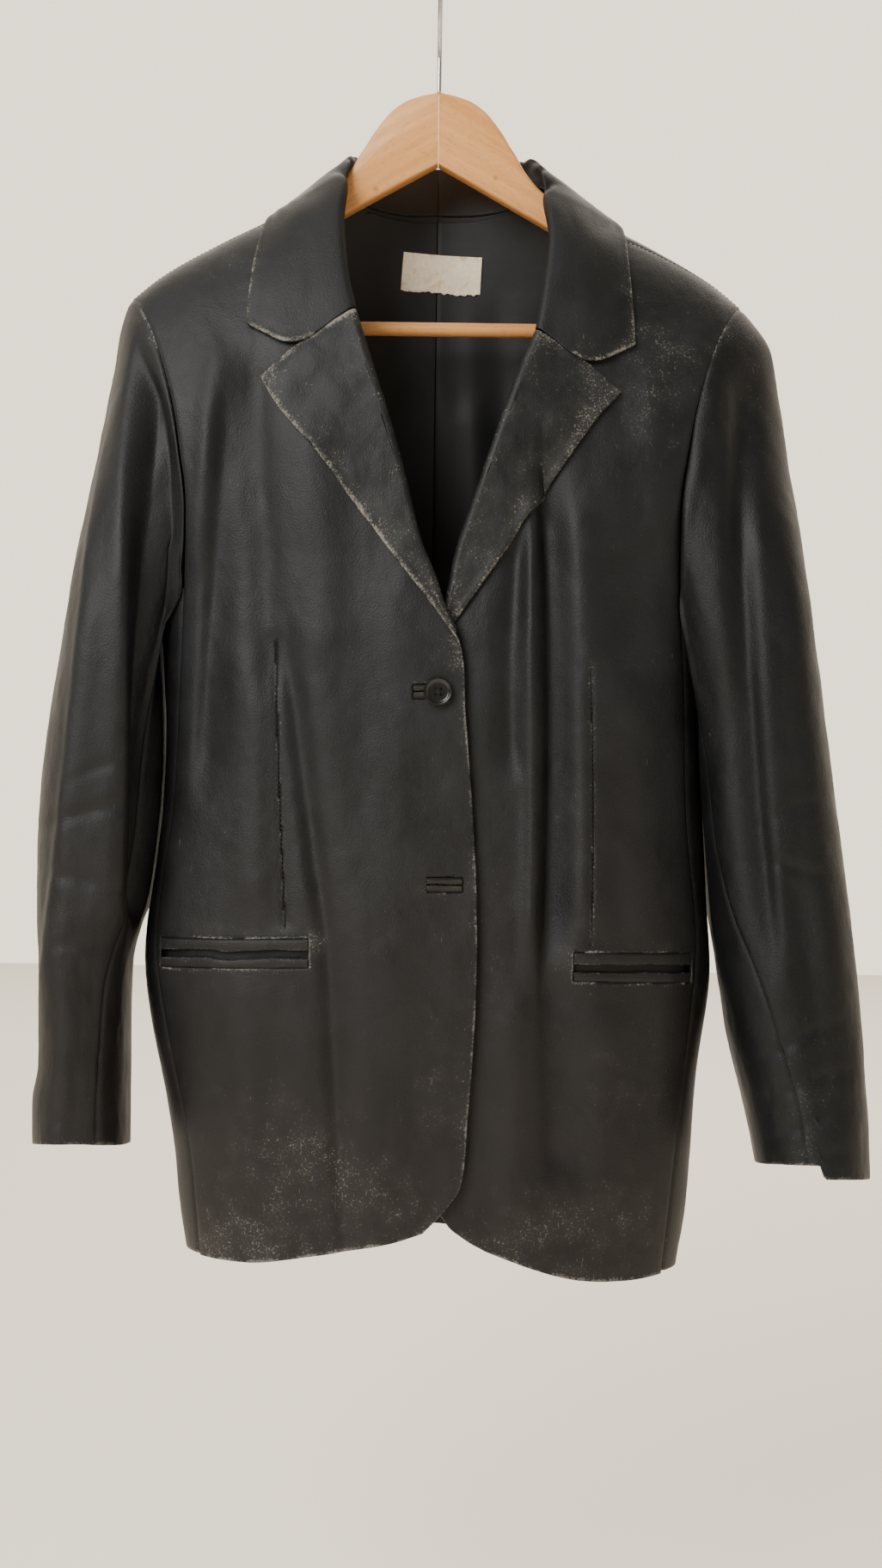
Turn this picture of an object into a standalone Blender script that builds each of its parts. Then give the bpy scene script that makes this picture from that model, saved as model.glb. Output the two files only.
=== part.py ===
"""A worn leather coat that hangs on a wooden hanger, cut and sewn as a tailor would cut it.

The front faces -Y, +Z is up and +X is the wearer's left. The origin is the inner crown of
the hanger's hook, where a rail carries the whole. Sizes are in millimetres until a mesh is made.

A height on the torso is h: up to 0 it is millimetres below the chest line, and above 0 it is
an arc over the shoulder, so that the front and the back meet smoothly at the shoulder's ridge.
"""
import math

import bmesh
import bpy
from mathutils import Matrix, Vector

MM = 0.001

# The cloth
WALL = 1.8            # leather with its backing
LAPEL_WALL = 2.0      # lapels and collar, two layers
LINING_WALL = 1.0
SEAM = 0.15           # each panel stops this far short of its seam line
TOP_SEAM = 0.6        # the same in h over the shoulder, where h runs faster than the cloth
STEP = 0.5            # reach of the differences that give a surface's normal

# The torso: half widths, depths and the shoulder's ridge
CHEST_Z = -430.0      # below this the panels hang straight
ARC = 150.0           # millimetres of h for one radian over the shoulder
SQUARE = 2.6          # exponent of the torso's rounded section
HALF_WIDTH = {
    -1: [(-925, 167), (-885, 173.5), (-841, 178.5), (-792, 188), (-760, 195), (-718, 200.5), (-685, 199),
         (-650, 194), (-600, 189), (-540, 188), (-455, 197), (-400, 222), (-350, 245), (-300, 262),
         (-230, 278)],
    1: [(-925, 180), (-885, 186), (-820, 190.5), (-784, 193.5), (-735, 200), (-710, 201), (-665, 198),
        (-600, 194), (-540, 191), (-455, 197), (-400, 222), (-350, 245), (-300, 262), (-230, 278)],
}
FRONT_DEPTH = [(-925, 75), (-820, 80), (-700, 83), (-600, 80), (-500, 82), (-430, 78)]
BACK_DEPTH = [(-925, 72), (-800, 70), (-700, 67), (-600, 53), (-500, 56), (-430, 62)]
RIDGE = [(-30, -88), (0, -50), (30, -88), (50, -125), (72, -156), (95, -172.5), (119, -187), (150, -202.5),
         (193, -227), (219, -248), (245, -272)]
TIP_X = 219.0         # where the shoulder seam meets the sleeve
ARMPIT_H = -25.0      # top edge of the side panels

# Edges of the panels as (z, x), the x counted outward from the middle of the coat
NECK_X = {-1: 70.0, 1: 80.0}
ARMHOLE_FRONT = [(-455, 172), (-413, 170.5), (-387, 171), (-360, 175), (-331, 180), (-305, 187),
                 (-281, 195), (-259, 206)]
ARMHOLE_BACK = [(-455, 173), (-400, 176), (-350, 181), (-305, 189), (-275, 199), (-257, 208)]
SIDE_SEAM = {
    -1: [(-925, 155), (-840, 164), (-763, 180), (-710, 189), (-660, 187), (-612, 180), (-519, 175)],
    1: [(-925, 167), (-763, 183), (-692, 188), (-612, 180), (-519, 177)],
}
CENTRE_HEM_Z = -916.0
SIDE_HEM_Z = {-1: -914.0, 1: -923.0}
NECK_BACK = [(0, -170), (0.3, -171), (0.55, -170), (0.75, -167.5), (0.87, -161), (0.95, -157.3)]
SHOULDER_SEAM = {-1: [(70, 80), (219, 87)], 1: [(70, 69), (219, 86)]}   # x and degrees up the arc

# Front edges: the wearer's right front (x < 0) laps over the left one
LAP_EDGE = [(-893, 0), (-879, 13), (-861, 25), (-813, 29.4), (-755, 33), (-696, 34), (-624, 31),
            (-539, 24), (-494, 20), (-482, 16)]
UNDER_EDGE = [(-899, 30), (-890, 18), (-872, 6), (-845, -5), (-800, -11), (-700, -13), (-539, -10),
              (-500, -6), (-484, 0)]
ROLL = {
    -1: [(-482, 16), (-465, 8), (-447, 2), (-423, -8), (-388, -17), (-345, -29), (-305, -42),
         (-263, -55.7), (-236, -62), (-200, -66)],
    1: [(-484, 0), (-463, 9.7), (-428, 17), (-388, 30), (-345, 44), (-305, 58), (-276, 69.7),
        (-240, 75), (-204, 79)],
}
HEM = {
    -1: [(-167, -914), (-95, -911), (-25, -899), (0, -893)],
    1: [(30, -899), (46, -905), (97, -920), (135, -923), (180, -923)],
}
LAP_LIFT = [(-925, 2.4), (-840, 3.2), (-700, 3.9), (-520, 4.2), (-480, 5.2), (-440, 5.2), (-370, 1.5),
            (-330, 0)]

# Lapels and collar as (x, z): where the lapel starts, the notch, the tip and the collar's point
GORGE = {-1: (-55.7, -263.0), 1: (69.7, -276.0)}
NOTCH = {-1: (-95.4, -288.6), 1: (105.0, -299.0)}
LAPEL_TIP = {-1: (-118.4, -309.7), 1: (127.2, -318.0)}
COLLAR_POINT = {-1: (-129.8, -274.7), 1: (136.9, -285.7)}
LAPEL_EDGE = {
    -1: [(-118.4, -309.7), (-104, -334), (-80, -362), (-53, -398), (-35, -421), (-16, -446),
         (0, -466), (17, -489)],
    1: [(127.2, -318), (107, -342), (82, -380), (58, -415), (36, -449), (20, -472), (13, -481)],
}
ROLL_RADIUS = 3.6     # middle of the lapel's wall as it turns over the front's edge
TUCK = 10.0           # how far the lapel goes on behind the front
LAPEL_LIFT = 2.3      # middle of the lapel's wall over the front at its free edge
LEAF_LIFT = 3.0       # the same for the collar's leaf over the shoulder

# Collar, from the centre back: share of NECK_X, then fold, middle and edge of the leaf
COLLAR_BACK = [
    (0.0, (0, 49, -134), (0, 58, -166), (0, 58, -197)),
    (0.52, (38, 42, -134), (46, 51, -165), (50, 52, -199)),
    (0.88, (60, 22, -135), (74, 31, -155), (88, 37, -192)),
]
BACK_SHARES = (0.0, 0.2, 0.38, 0.52, 0.66, 0.78, 0.88)
# Over the shoulder: stand's foot, fold, middle and edge of the leaf
COLLAR_SIDE = {
    -1: [((67.6, 2, -153.2), (63.3, 2, -139), (86, 1, -150), (113, 3, -178)),
         ((67.6, -9, -154.4), (64.4, -10, -149), (88, -9, -155), (115, -8, -181))],
    1: [((77.6, 2, -159.4), (72.8, 2, -144), (96, 1, -156), (124, 3, -181)),
        ((77.6, -9, -160.6), (75.4, -10, -155), (98, -9, -161), (127, -8, -184))],
}
# In front: fold and edge of the leaf as (x, z), and how far the cloth goes on behind the fold
COLLAR_FRONT = {
    -1: [((65.5, -164), (119, -193), 3.7), ((66, -194), (124.5, -218), 7.0),
         ((62, -232), (128, -246), 9.0)],
    1: [((76.3, -171), (130, -197), 3.7), ((79, -204), (133, -223), 7.0),
        ((75, -241), (135, -254), 9.0)],
}
COLLAR_ROWS = (0, 0.1, 0.19, 0.27, 0.34, 0.4, 0.45, 0.49, 0.52, 0.55, 0.59, 0.64, 0.72, 0.81, 0.91, 1.0)
LEAF_SWELL = 1.6      # the leaf rises this much more in its middle
STAND_SHARES = (0.0, 0.12, 0.22, 0.29, 0.34, 0.38, 0.46, 0.56, 0.67, 0.78, 0.89, 1.0)
LEAF_SHARES = (0.16, 0.32, 0.49, 0.66, 0.83, 1.0)

# Folds that hang in the fronts: (x, z) at the top and the foot, half breadth and height
FRONT_FOLDS = {
    -1: [((-130, -300), (-108, -520), 14, -5.0), ((-78, -360), (-72, -500), 16, 4.0),
         ((-84, -690), (-66, -880), 14, -5.0), ((-138, -360), (-152, -500), 12, -3.5)],
    1: [((68, -398), (72, -690), 11, -6.5), ((92, -420), (96, -640), 14, 4.5),
        ((48, -418), (50, -565), 10, -3.0), ((76, -735), (80, -850), 15, -5.0),
        ((128, -560), (134, -690), 16, 3.0)],
}
BACK_FOLDS = {
    -1: [((-62, -550), (-70, -740), 20, -5.0), ((-132, -340), (-120, -560), 16, 4.0),
         ((-90, -730), (-84, -915), 18, -5.0)],
    1: [((64, -550), (58, -730), 20, -5.0), ((136, -340), (122, -540), 16, 4.0),
        ((96, -730), (90, -915), 18, -5.0)],
}

# Sleeves: outer and inner reach in the front view, half depth and swing toward the front
SLEEVE_OUTER = {
    -1: [(-845, 272.5), (-808, 273), (-786, 269.5), (-751, 269.5), (-715, 271.5), (-680, 273.8),
         (-610, 274.6), (-563, 270.8), (-492, 260.6), (-400, 247.3), (-319, 233), (-285, 227), (-247, 219)],
    1: [(-864, 310), (-833, 309.5), (-808, 309), (-777, 306.5), (-735, 302), (-701, 298), (-650, 292),
        (-612, 286.5), (-574, 282), (-516, 275), (-485, 270), (-443, 265), (-394, 259.5), (-362, 254.5),
        (-313, 247), (-276, 239), (-247, 220)],
}
SLEEVE_INNER = {
    -1: [(-845, 208), (-812, 208.5), (-767, 209.4), (-718, 209.5), (-690, 203), (-665, 191), (-560, 182),
         (-455, 178), (-300, 176)],
    1: [(-864, 235), (-833, 229.4), (-808, 224), (-784, 218), (-760, 212.2), (-735, 208.3), (-710, 204),
        (-676, 197), (-560, 184), (-455, 178), (-300, 176)],
}
SLEEVE_DEPTH = [(-864, 56), (-760, 60), (-650, 67), (-550, 73), (-450, 74), (-350, 66), (-250, 50)]
SLEEVE_SWING = [(-864, -30), (-760, -22), (-650, -12), (-550, -5), (-450, -3), (-250, 0)]
CUFF_Z = {-1: -843.0, 1: -854.5}
CUFF_SLANT = 8.0      # the cuff is this much shorter in front
SLEEVE_CLEAR = 2.2    # the sleeve hangs this far from the body
ARMHOLE_GAP = 2.4     # from a panel's armhole edge out to the sleeve's first ring
SLEEVE_SQUARE = 2.3
SLEEVE_FRONT_SEAM = 148.0
SLEEVE_BACK_SEAM = 250.0
SLEEVE_ANGLES = (-92, -74, -57, -42, -29, -18, -8, 0, 8, 18, 29, 42, 57, 74, 92, 111, 130,
                 162, 176, 190, 204, 218, 234)      # columns of the wall, closest at the shoulder
SLEEVE_FOLDS = {
    -1: [(100, -330, -700, 16, -5.0), (60, -300, -760, 22, 3.5), (250, -420, -640, 20, -4.0)],
    1: [(96, -300, -640, 16, -5.0), (55, -430, -760, 22, 3.5), (250, -430, -660, 20, -4.0)],
}

# Pockets and buttonholes: inner end x, its top z, drop of the line toward the side, sizes
POCKET = {-1: (-80.0, -694.0, -0.03), 1: (100.0, -701.0, -0.02)}
POCKET_WELTS = (7.5, 6.5, 6.0)        # upper welt, gap and lower welt
POCKET_STOP = 5.0                     # the pocket ends this far short of the side seam
BUTTONHOLES = {"upper": (0.7, -525.8), "lower": (11.5, -656.0)}
BUTTONHOLE_SIZE = (24.4, 10.5)
BUTTONS = {"upper": (5.4, -525.8), "lower": (10.0, -656.0)}
BUTTON_RADIUS = 9.8
BUTTON_THICK = 3.4
FIT = 0.3                             # gap between pieces that touch

# Label on the lining
LINING_X = 104.0      # half width of the lining that shows
LINING_CORNER = 20.0
LINING_LIFT = -(WALL + 1.7)
LABEL_CENTRE = (3.5, -212.0)
LABEL_SIZE = (60.0, 27.5)
LABEL_TURN = -3.5

# Hanger
HANGER_THICK = 14.0
HUMP = [(0.15, -95), (9, -96.5), (17.6, -99), (24.6, -102), (34, -109), (40, -116), (46.5, -125),
        (51, -132.5), (56, -140), (60.5, -148.5), (66, -155.8), (74, -164.5)]
ARM_LOW_Z = -146.0
ARM_SLOPE = math.tan(math.radians(29.5))
ARM_DROP = 5.3        # the arm lies this far under the shoulder's outer face
EASED = 2.4           # flat that eases the arms' edges
BAR_Z = -263.0
BAR_RADIUS = 5.0
BAR_END = 192.0
WIRE_RADIUS = 1.7
HOOK_RADIUS = 20.0    # inner radius of the hook


def profile(pairs):
    """A smooth value between (key, value) pairs in rising order, straight beyond the ends."""
    keys = [pair[0] for pair in pairs]
    values = [pair[1] for pair in pairs]
    slopes = []
    for i in range(len(keys)):
        low = max(i - 1, 0)
        high = min(i + 1, len(keys) - 1)
        slopes.append((values[high] - values[low]) / (keys[high] - keys[low]))

    def value(key):
        if key <= keys[0]:
            return values[0]
        if key >= keys[-1]:
            return values[-1]
        i = max(j for j in range(len(keys) - 1) if keys[j] <= key)
        span = keys[i + 1] - keys[i]
        t = (key - keys[i]) / span
        return ((1 + 2 * t) * (1 - t) ** 2 * values[i] + t * (1 - t) ** 2 * span * slopes[i]
                + t * t * (3 - 2 * t) * values[i + 1] + t * t * (t - 1) * span * slopes[i + 1])
    return value


def path(points):
    """A smooth curve through points, as a function of 0 to 1 by length."""
    places = [Vector(point) for point in points]
    lengths = [0.0]
    for a, b in zip(places, places[1:]):
        lengths.append(lengths[-1] + (b - a).length)
    axes = [profile([(s / lengths[-1], p[k]) for s, p in zip(lengths, places)])
            for k in range(len(places[0]))]
    return lambda t: Vector([axis(t) for axis in axes])


def mix(a, b, t):
    """The value t of the way from a to b."""
    return a + (b - a) * t


def ease(t):
    """0 to 1 with soft ends."""
    t = min(max(t, 0.0), 1.0)
    return t * t * (3 - 2 * t)


def steps(count):
    """Even values from 0 to 1."""
    return [i / count for i in range(count + 1)]


half_width = {side: profile(HALF_WIDTH[side]) for side in (-1, 1)}
front_depth = profile(FRONT_DEPTH)
back_depth = profile(BACK_DEPTH)
ridge_of = profile(RIDGE)
lap_lift = profile(LAP_LIFT)


def ridge(x):
    """Height of the shoulder's ridge."""
    return ridge_of(abs(x))


def height_at(x, z):
    """The h of a height z on the torso."""
    if z <= CHEST_Z:
        return z - CHEST_Z
    return ARC * math.asin(min((z - CHEST_Z) / (ridge(x) - CHEST_Z), 1.0))


def z_at(x, h):
    """The height z of an h on the torso."""
    if h <= 0:
        return CHEST_Z + h
    return CHEST_Z + (ridge(x) - CHEST_Z) * math.sin(h / ARC)


def rounding(ratio):
    """Share of the full depth at a share of the half width."""
    return max(1 - abs(ratio) ** SQUARE, 0.0) ** (1 / SQUARE)


def fold_height(folds, x, z):
    """Sum of the soft ridges (above 0) and troughs (below 0) at a place."""
    total = 0.0
    for top, foot, breadth, rise in folds:
        t = (z - foot[1]) / (top[1] - foot[1])
        across = (x - mix(foot[0], top[0], t)) / breadth
        ends = ease(t * 4 + 0.5) * ease((1 - t) * 4 + 0.5)
        total += rise * math.exp(-across * across) * ends
    return total


def front_surface(side):
    """Outer face of a front as a function of x and h."""
    width = half_width[side]

    def point(x, h):
        z = z_at(x, h)
        swing = math.cos(h / ARC) if h > 0 else 1.0
        y = -front_depth(z) * swing * rounding(x / width(z))
        near_edge = ease((x + 62) / 50) if side < 0 else -ease((76 - x) / 50)
        fade = ease((0.9 * width(z) - abs(x)) / 30) * ease(swing * 2)
        y -= lap_lift(z) * near_edge + fold_height(FRONT_FOLDS[side], x, z) * fade
        return Vector((x, y, z))
    return point


def back_surface(side):
    """Outer face of the back as a function of x and h, on over the ridge to the front seam."""
    width = half_width[side]

    def point(x, h):
        z = z_at(x, h)
        swing = math.cos(h / ARC) if h > 0 else 1.0
        depth = back_depth(z) if swing > 0 else front_depth(z)
        y = depth * swing * rounding(x / width(z))
        fade = ease((0.9 * width(z) - abs(x)) / 30) * ease(swing * 2) * ease(abs(x) / 30)
        y += fold_height(BACK_FOLDS[side], x, z) * fade
        return Vector((x, y, z))
    return point


def side_surface(side):
    """Outer face of a side panel as a function of y and z."""
    width = half_width[side]

    def point(y, z):
        depth = front_depth(z) if y < 0 else back_depth(z)
        return Vector((side * width(z) * rounding(y / depth), y, z))
    return point


def normal_at(surface, a, b, turn):
    """Unit normal of a surface, by differences; turn is 1 or -1 so that it points out."""
    along_a = surface(a + STEP, b) - surface(a - STEP, b)
    along_b = surface(a, b + STEP) - surface(a, b - STEP)
    return along_a.cross(along_b).normalized() * turn


def seam_h(side, x):
    """The h of the shoulder seam on the front."""
    degrees = profile(SHOULDER_SEAM[side])(abs(x))
    return ARC * math.radians(degrees)


def front_edges(side):
    """Inner and outer edges of a front, as x by h."""
    tuck = side * (ROLL_RADIUS + 0.2)
    edge = LAP_EDGE if side < 0 else UNDER_EDGE
    roll = [(z, x + tuck) for z, x in ROLL[side][1:]]
    inner = [(height_at(x, z), x) for z, x in edge[:-1] + roll]
    neck = side * NECK_X[side]
    inner.append((seam_h(side, neck), neck))
    outer = [(height_at(side * x, z), side * x) for z, x in SIDE_SEAM[side] + ARMHOLE_FRONT]
    outer.append((seam_h(side, TIP_X), side * TIP_X))
    return profile(inner), profile(outer)


def back_edges(side):
    """Centre seam with the neck, and outer edge of a back half, as x by h."""
    over = ARC * math.pi
    inner = profile([(-500, 0), (over, 0)])
    outer = [(height_at(side * x, z), side * x) for z, x in SIDE_SEAM[side] + ARMHOLE_BACK]
    outer.append((over - seam_h(side, TIP_X), side * TIP_X))
    return inner, profile(outer)


def neck_h(side, x):
    """The h of a back half's top: the neck seam, and past it the shoulder seam."""
    share = abs(x) / NECK_X[side]
    shoulder = ARC * math.pi - seam_h(side, max(abs(x), NECK_X[side]))
    if share >= 1:
        return shoulder
    return mix(height_at(x, profile(NECK_BACK)(share)), shoulder, max(share / 0.05 - 19, 0) ** 3)


def patch(inner, outer, foot, top, foot_x, top_x, cols, rows, even_top=None):
    """A grid of (x, h) between two edges; foot and top give h by x, foot_x and top_x span them.

    Where the top jumps, even_top is a smooth h that the rows follow until near it.
    """
    def across(h, u):
        return mix(inner(h), outer(h), u)
    grid = []
    for v in rows:
        row = []
        for u in cols:
            low_x = mix(foot_x[0], foot_x[1], u)
            high_x = mix(top_x[0], top_x[1], u)
            low = foot(low_x)
            high = top(high_x)
            smooth = even_top(high_x) if even_top else high
            h = mix(low, smooth, v) + (high - smooth) * v ** 5
            x = across(h, u)
            x += (high_x - across(high, u)) * v ** 3 + (low_x - across(low, u)) * (1 - v) ** 3
            row.append((x, h))
        grid.append(row)
    return grid


def material(name, colour, roughness, metallic=0.0):
    """A plain surface from an sRGB hex colour."""
    linear = []
    for k in (0, 2, 4):
        c = int(colour[k:k + 2], 16) / 255
        linear.append(c / 12.92 if c <= 0.04045 else ((c + 0.055) / 1.055) ** 2.4)
    made = bpy.data.materials.get(name) or bpy.data.materials.new(name)
    made.use_nodes = True
    shader = made.node_tree.nodes["Principled BSDF"]
    shader.inputs["Base Color"].default_value = (*linear, 1)
    shader.inputs["Roughness"].default_value = roughness
    shader.inputs["Metallic"].default_value = metallic
    made.diffuse_color = (*linear, 1)
    return made


def leather():
    return material("worn_leather", "302f2e", 0.45)


def add_object(name, mesh, surface):
    """One named object, shaded smooth up to 40 degrees."""
    mesh.materials.append(surface)
    mesh.shade_smooth()
    mesh.set_sharp_from_angle(angle=math.radians(40))
    made = bpy.data.objects.new(name, mesh)
    bpy.context.scene.collection.objects.link(made)
    return made


def mesh_from(name, corners, faces):
    """A mesh from millimetre corners, with its faces pointing out."""
    mesh = bpy.data.meshes.new(name)
    mesh.from_pydata([corner * MM for corner in corners], [], faces)
    work = bmesh.new()
    work.from_mesh(mesh)
    bmesh.ops.recalc_face_normals(work, faces=work.faces)
    work.to_mesh(mesh)
    work.free()
    return mesh


def wall_object(name, outer, inner, surface, ring=False):
    """A closed wall between two grids of points, all round where ring is set."""
    rows = len(outer)
    cols = len(outer[0])
    corners = [p for row in outer for p in row] + [p for row in inner for p in row]
    half = rows * cols

    def at(i, j, face):
        return face * half + i * cols + j % cols
    faces = []
    span = cols if ring else cols - 1
    for i in range(rows - 1):
        for j in range(span):
            faces.append((at(i, j, 0), at(i, j + 1, 0), at(i + 1, j + 1, 0), at(i + 1, j, 0)))
            faces.append((at(i, j, 1), at(i + 1, j, 1), at(i + 1, j + 1, 1), at(i, j + 1, 1)))
    for i in (0, rows - 1):
        for j in range(span):
            faces.append((at(i, j, 0), at(i, j, 1), at(i, j + 1, 1), at(i, j + 1, 0)))
    if not ring:
        for j in (0, cols - 1):
            for i in range(rows - 1):
                faces.append((at(i, j, 0), at(i + 1, j, 0), at(i + 1, j, 1), at(i, j, 1)))
    return add_object(name, mesh_from(name, corners, faces), surface)


def sheet(name, surface, grid, turn, lift, wall, cloth):
    """A wall on a surface: its outer face is lifted off it, its inner face is wall deeper."""
    outer = []
    inner = []
    for line in grid:
        places = [(surface(a, b), normal_at(surface, a, b, turn)) for a, b in line]
        outer.append([p + n * lift for p, n in places])
        inner.append([p + n * (lift - wall) for p, n in places])
    return wall_object(name, outer, inner, cloth)


def build_front(side, name):
    inner, outer = front_edges(side)
    hem = profile(HEM[side])
    corner_h = (LAP_EDGE if side < 0 else UNDER_EDGE)[0][0] - CHEST_Z
    inset = side * SEAM
    foot_x = (inner(corner_h) + inset, outer(SIDE_HEM_Z[side] - CHEST_Z) - inset)
    top_x = (side * NECK_X[side] + inset, side * TIP_X - inset)
    grid = patch(lambda h: inner(h) + inset, lambda h: outer(h) - inset,
                 lambda x: hem(x) - CHEST_Z, lambda x: seam_h(side, x) - TOP_SEAM,
                 foot_x, top_x, steps(11), steps(28))
    return sheet(name, front_surface(side), grid, 1, 0.0, WALL, leather())


def build_back(side, name):
    inner, outer = back_edges(side)
    inset = side * SEAM
    hem_h = CENTRE_HEM_Z - CHEST_Z
    side_h = SIDE_HEM_Z[side] - CHEST_Z
    foot_x = (inset, outer(side_h) - inset)
    top_x = (inset, side * TIP_X - inset)
    cols = [x * NECK_X[side] / TIP_X for x in (0, 0.3, 0.55, 0.75, 0.87, 0.95, 0.985, 1.0)]
    cols += [mix(cols[-1], 1.0, t) for t in (0.2, 0.4, 0.6, 0.8, 1.0)]
    grid = patch(lambda h: inner(h) + inset, lambda h: outer(h) - inset,
                 lambda x: mix(hem_h, side_h, x / foot_x[1]), lambda x: neck_h(side, x) - TOP_SEAM,
                 foot_x, top_x, cols, steps(28),
                 lambda x: ARC * math.radians(mix(60, 94, abs(x) / TIP_X)))
    return sheet(name, back_surface(side), grid, -1, 0.0, WALL, leather())


def seam_y(side, z, edge, depth):
    """Depth at which a panel's outer edge meets the side panel."""
    width = half_width[side](z)
    x = abs(edge(z - CHEST_Z)) + SEAM
    return depth(z) * rounding(x / width)


def build_side(side, name):
    front = front_edges(side)[1]
    back = back_edges(side)[1]
    foot_z = SIDE_HEM_Z[side]
    grid = []
    for v in steps(18):
        z = mix(foot_z, CHEST_Z + ARMPIT_H, v)
        low = -seam_y(side, z, front, front_depth)
        high = seam_y(side, z, back, back_depth)
        grid.append([(mix(low, high, u), z) for u in steps(5)])
    return sheet(name, side_surface(side), grid, side, 0.0, WALL, leather())


def armhole(side):
    """The sleeve's first ring, from the shoulder round the front, the armpit and the back."""
    front = front_edges(side)[1]
    back = back_edges(side)[1]
    front_face = front_surface(side)
    back_face = back_surface(side)
    side_face = side_surface(side)
    top = seam_h(side, TIP_X)
    low_z = CHEST_Z + ARMPIT_H
    down = [front_face(front(h), h) for h in [mix(top, ARMPIT_H, t) for t in steps(14)]]
    y_front = -seam_y(side, low_z, front, front_depth)
    y_back = seam_y(side, low_z, back, back_depth)
    under = [side_face(mix(y_front, y_back, t), low_z) for t in steps(6)]
    over = ARC * math.pi - top
    up = [back_face(back(h), h) for h in [mix(ARMPIT_H, over, t) for t in steps(14)]]
    shift = Vector((side * ARMHOLE_GAP, 0, 0))
    front_half = [p + shift for p in down + under[1:4]]
    back_half = [p + shift for p in under[3:] + up[1:]]
    return path(front_half), path(back_half)


def sleeve_surface(side):
    """Outer face of a sleeve: degrees round it from the outer side over the front, and length."""
    outer = profile(SLEEVE_OUTER[side])
    inner = profile(SLEEVE_INNER[side])
    depth = profile(SLEEVE_DEPTH)
    swing = profile(SLEEVE_SWING)
    width = half_width[side]
    front_half, back_half = armhole(side)

    def section(angle, z):
        turn = math.radians(angle)
        middle = (outer(z) + inner(z)) / 2
        reach = (outer(z) - inner(z)) / 2
        power = 2 / SLEEVE_SQUARE
        x = middle + reach * math.copysign(abs(math.cos(turn)) ** power, math.cos(turn))
        y = swing(z) - depth(z) * math.copysign(abs(math.sin(turn)) ** power, math.sin(turn))
        return Vector((side * x, y, z))

    def start(angle):
        angle = angle % 360
        if angle <= 180:
            return front_half(angle / 180)
        return back_half((angle - 180) / 180)

    def point(angle, share):
        first = start(angle)
        z = mix(first.z, CUFF_Z[side] + CUFF_SLANT * math.sin(math.radians(angle)), share)
        held = ease(1 - share / 0.34)
        place = section(angle, z) + (first - section(angle, first.z)) * held
        for around, top, foot, breadth, rise in SLEEVE_FOLDS[side]:
            along = (z - foot) / (top - foot)
            across = ((angle - around + 180) % 360 - 180) / breadth
            push = rise * math.exp(-across * across) * ease(along * 4) * ease((1 - along) * 4)
            turn = math.radians(angle)
            place += Vector((side * math.cos(turn), -math.sin(turn), 0)) * push
        body_depth = front_depth(z) if place.y < 0 else back_depth(z)
        if z < CHEST_Z + 10:
            body = width(z) * rounding(place.y / body_depth) + SLEEVE_CLEAR
            lack = body - side * place.x
            soft = 5.0
            push = max(lack, 0.0) if abs(lack) > soft else (lack + soft) ** 2 / (4 * soft)
            place.x += side * push * ease((CHEST_Z + 10 - z) / 20)
        return place
    return point


def build_sleeve(side, name, first, last):
    """One piece of a sleeve between two seams, in degrees round it."""
    surface = sleeve_surface(side)
    gap = 0.12
    angles = [first + gap] + [a for a in SLEEVE_ANGLES if first < a < last] + [last - gap]
    grid = [[(angle, v) for angle in angles] for v in steps(18)]
    outer = []
    inner = []
    for line in grid:
        outer_row = []
        inner_row = []
        for angle, share in line:
            place = surface(angle, share)
            round_way = surface(angle + 1, share) - surface(angle - 1, share)
            low = max(share - 0.004, 0.0)
            high = min(share + 0.004, 1.0)
            down_way = surface(angle, high) - surface(angle, low)
            normal = round_way.cross(down_way).normalized() * side
            outer_row.append(place)
            inner_row.append(place - normal * WALL)
        outer.append(outer_row)
        inner.append(inner_row)
    return wall_object(name, outer, inner, leather())


def lapel_rows(side):
    """Roll line and outer edge of a lapel, by the share of its length."""
    roll = [(x, z) for z, x in reversed(ROLL[side]) if z <= GORGE[side][1] + 0.5]
    return path(roll), path(LAPEL_EDGE[side])


def lapel_place(side):
    """(x, z) across a lapel from its roll line (0) to its edge (1), and along it."""
    roll, edge = lapel_rows(side)
    top = path([GORGE[side], NOTCH[side], LAPEL_TIP[side]])

    def place(u, v):
        a = roll(v)
        b = edge(v)
        bend = top(u) - (roll(0) * (1 - u) + edge(0) * u)
        return a * (1 - u) + b * u + bend * (1 - v) ** 3
    return place


def build_lapel(side, name):
    """A lapel: a short tuck behind the front, the roll over its edge, and the face on it."""
    face = front_surface(side)
    place = lapel_place(side)
    middle = -WALL / 2
    lines = []
    for v in steps(14):
        v_in = mix(0.012, 1.0, v)
        root = place(0.0, v_in)
        way = place(1.0, v_in) - root
        reach = way.length
        way.normalize()
        section = [(min(TUCK, reach), middle - ROLL_RADIUS)]
        for degrees in (-90, -45, 0, 45, 90):
            turn = math.radians(degrees)
            section.append((ROLL_RADIUS * (1 - math.cos(turn)), middle + ROLL_RADIUS * math.sin(turn)))
        line = []
        for along, lift in section:
            spot = root + way * min(along, reach)
            line.append((spot, lift))
        for u in (0.2, 0.4, 0.6, 0.8, 1.0):
            spot = place(max(u, ROLL_RADIUS * 1.3 / reach), v_in)
            line.append((spot, mix(middle + ROLL_RADIUS, LAPEL_LIFT, ease(u * 1.3))))
        lines.append([on_front(side, face, spot, lift) for spot, lift in line])
    return thick_grid(name, lines, LAPEL_WALL, leather())


def on_front(side, face, spot, lift):
    """A point lifted off a front's outer face above (x, z)."""
    h = height_at(spot[0], spot[1])
    return face(spot[0], h) + normal_at(face, spot[0], h, 1) * lift


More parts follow.
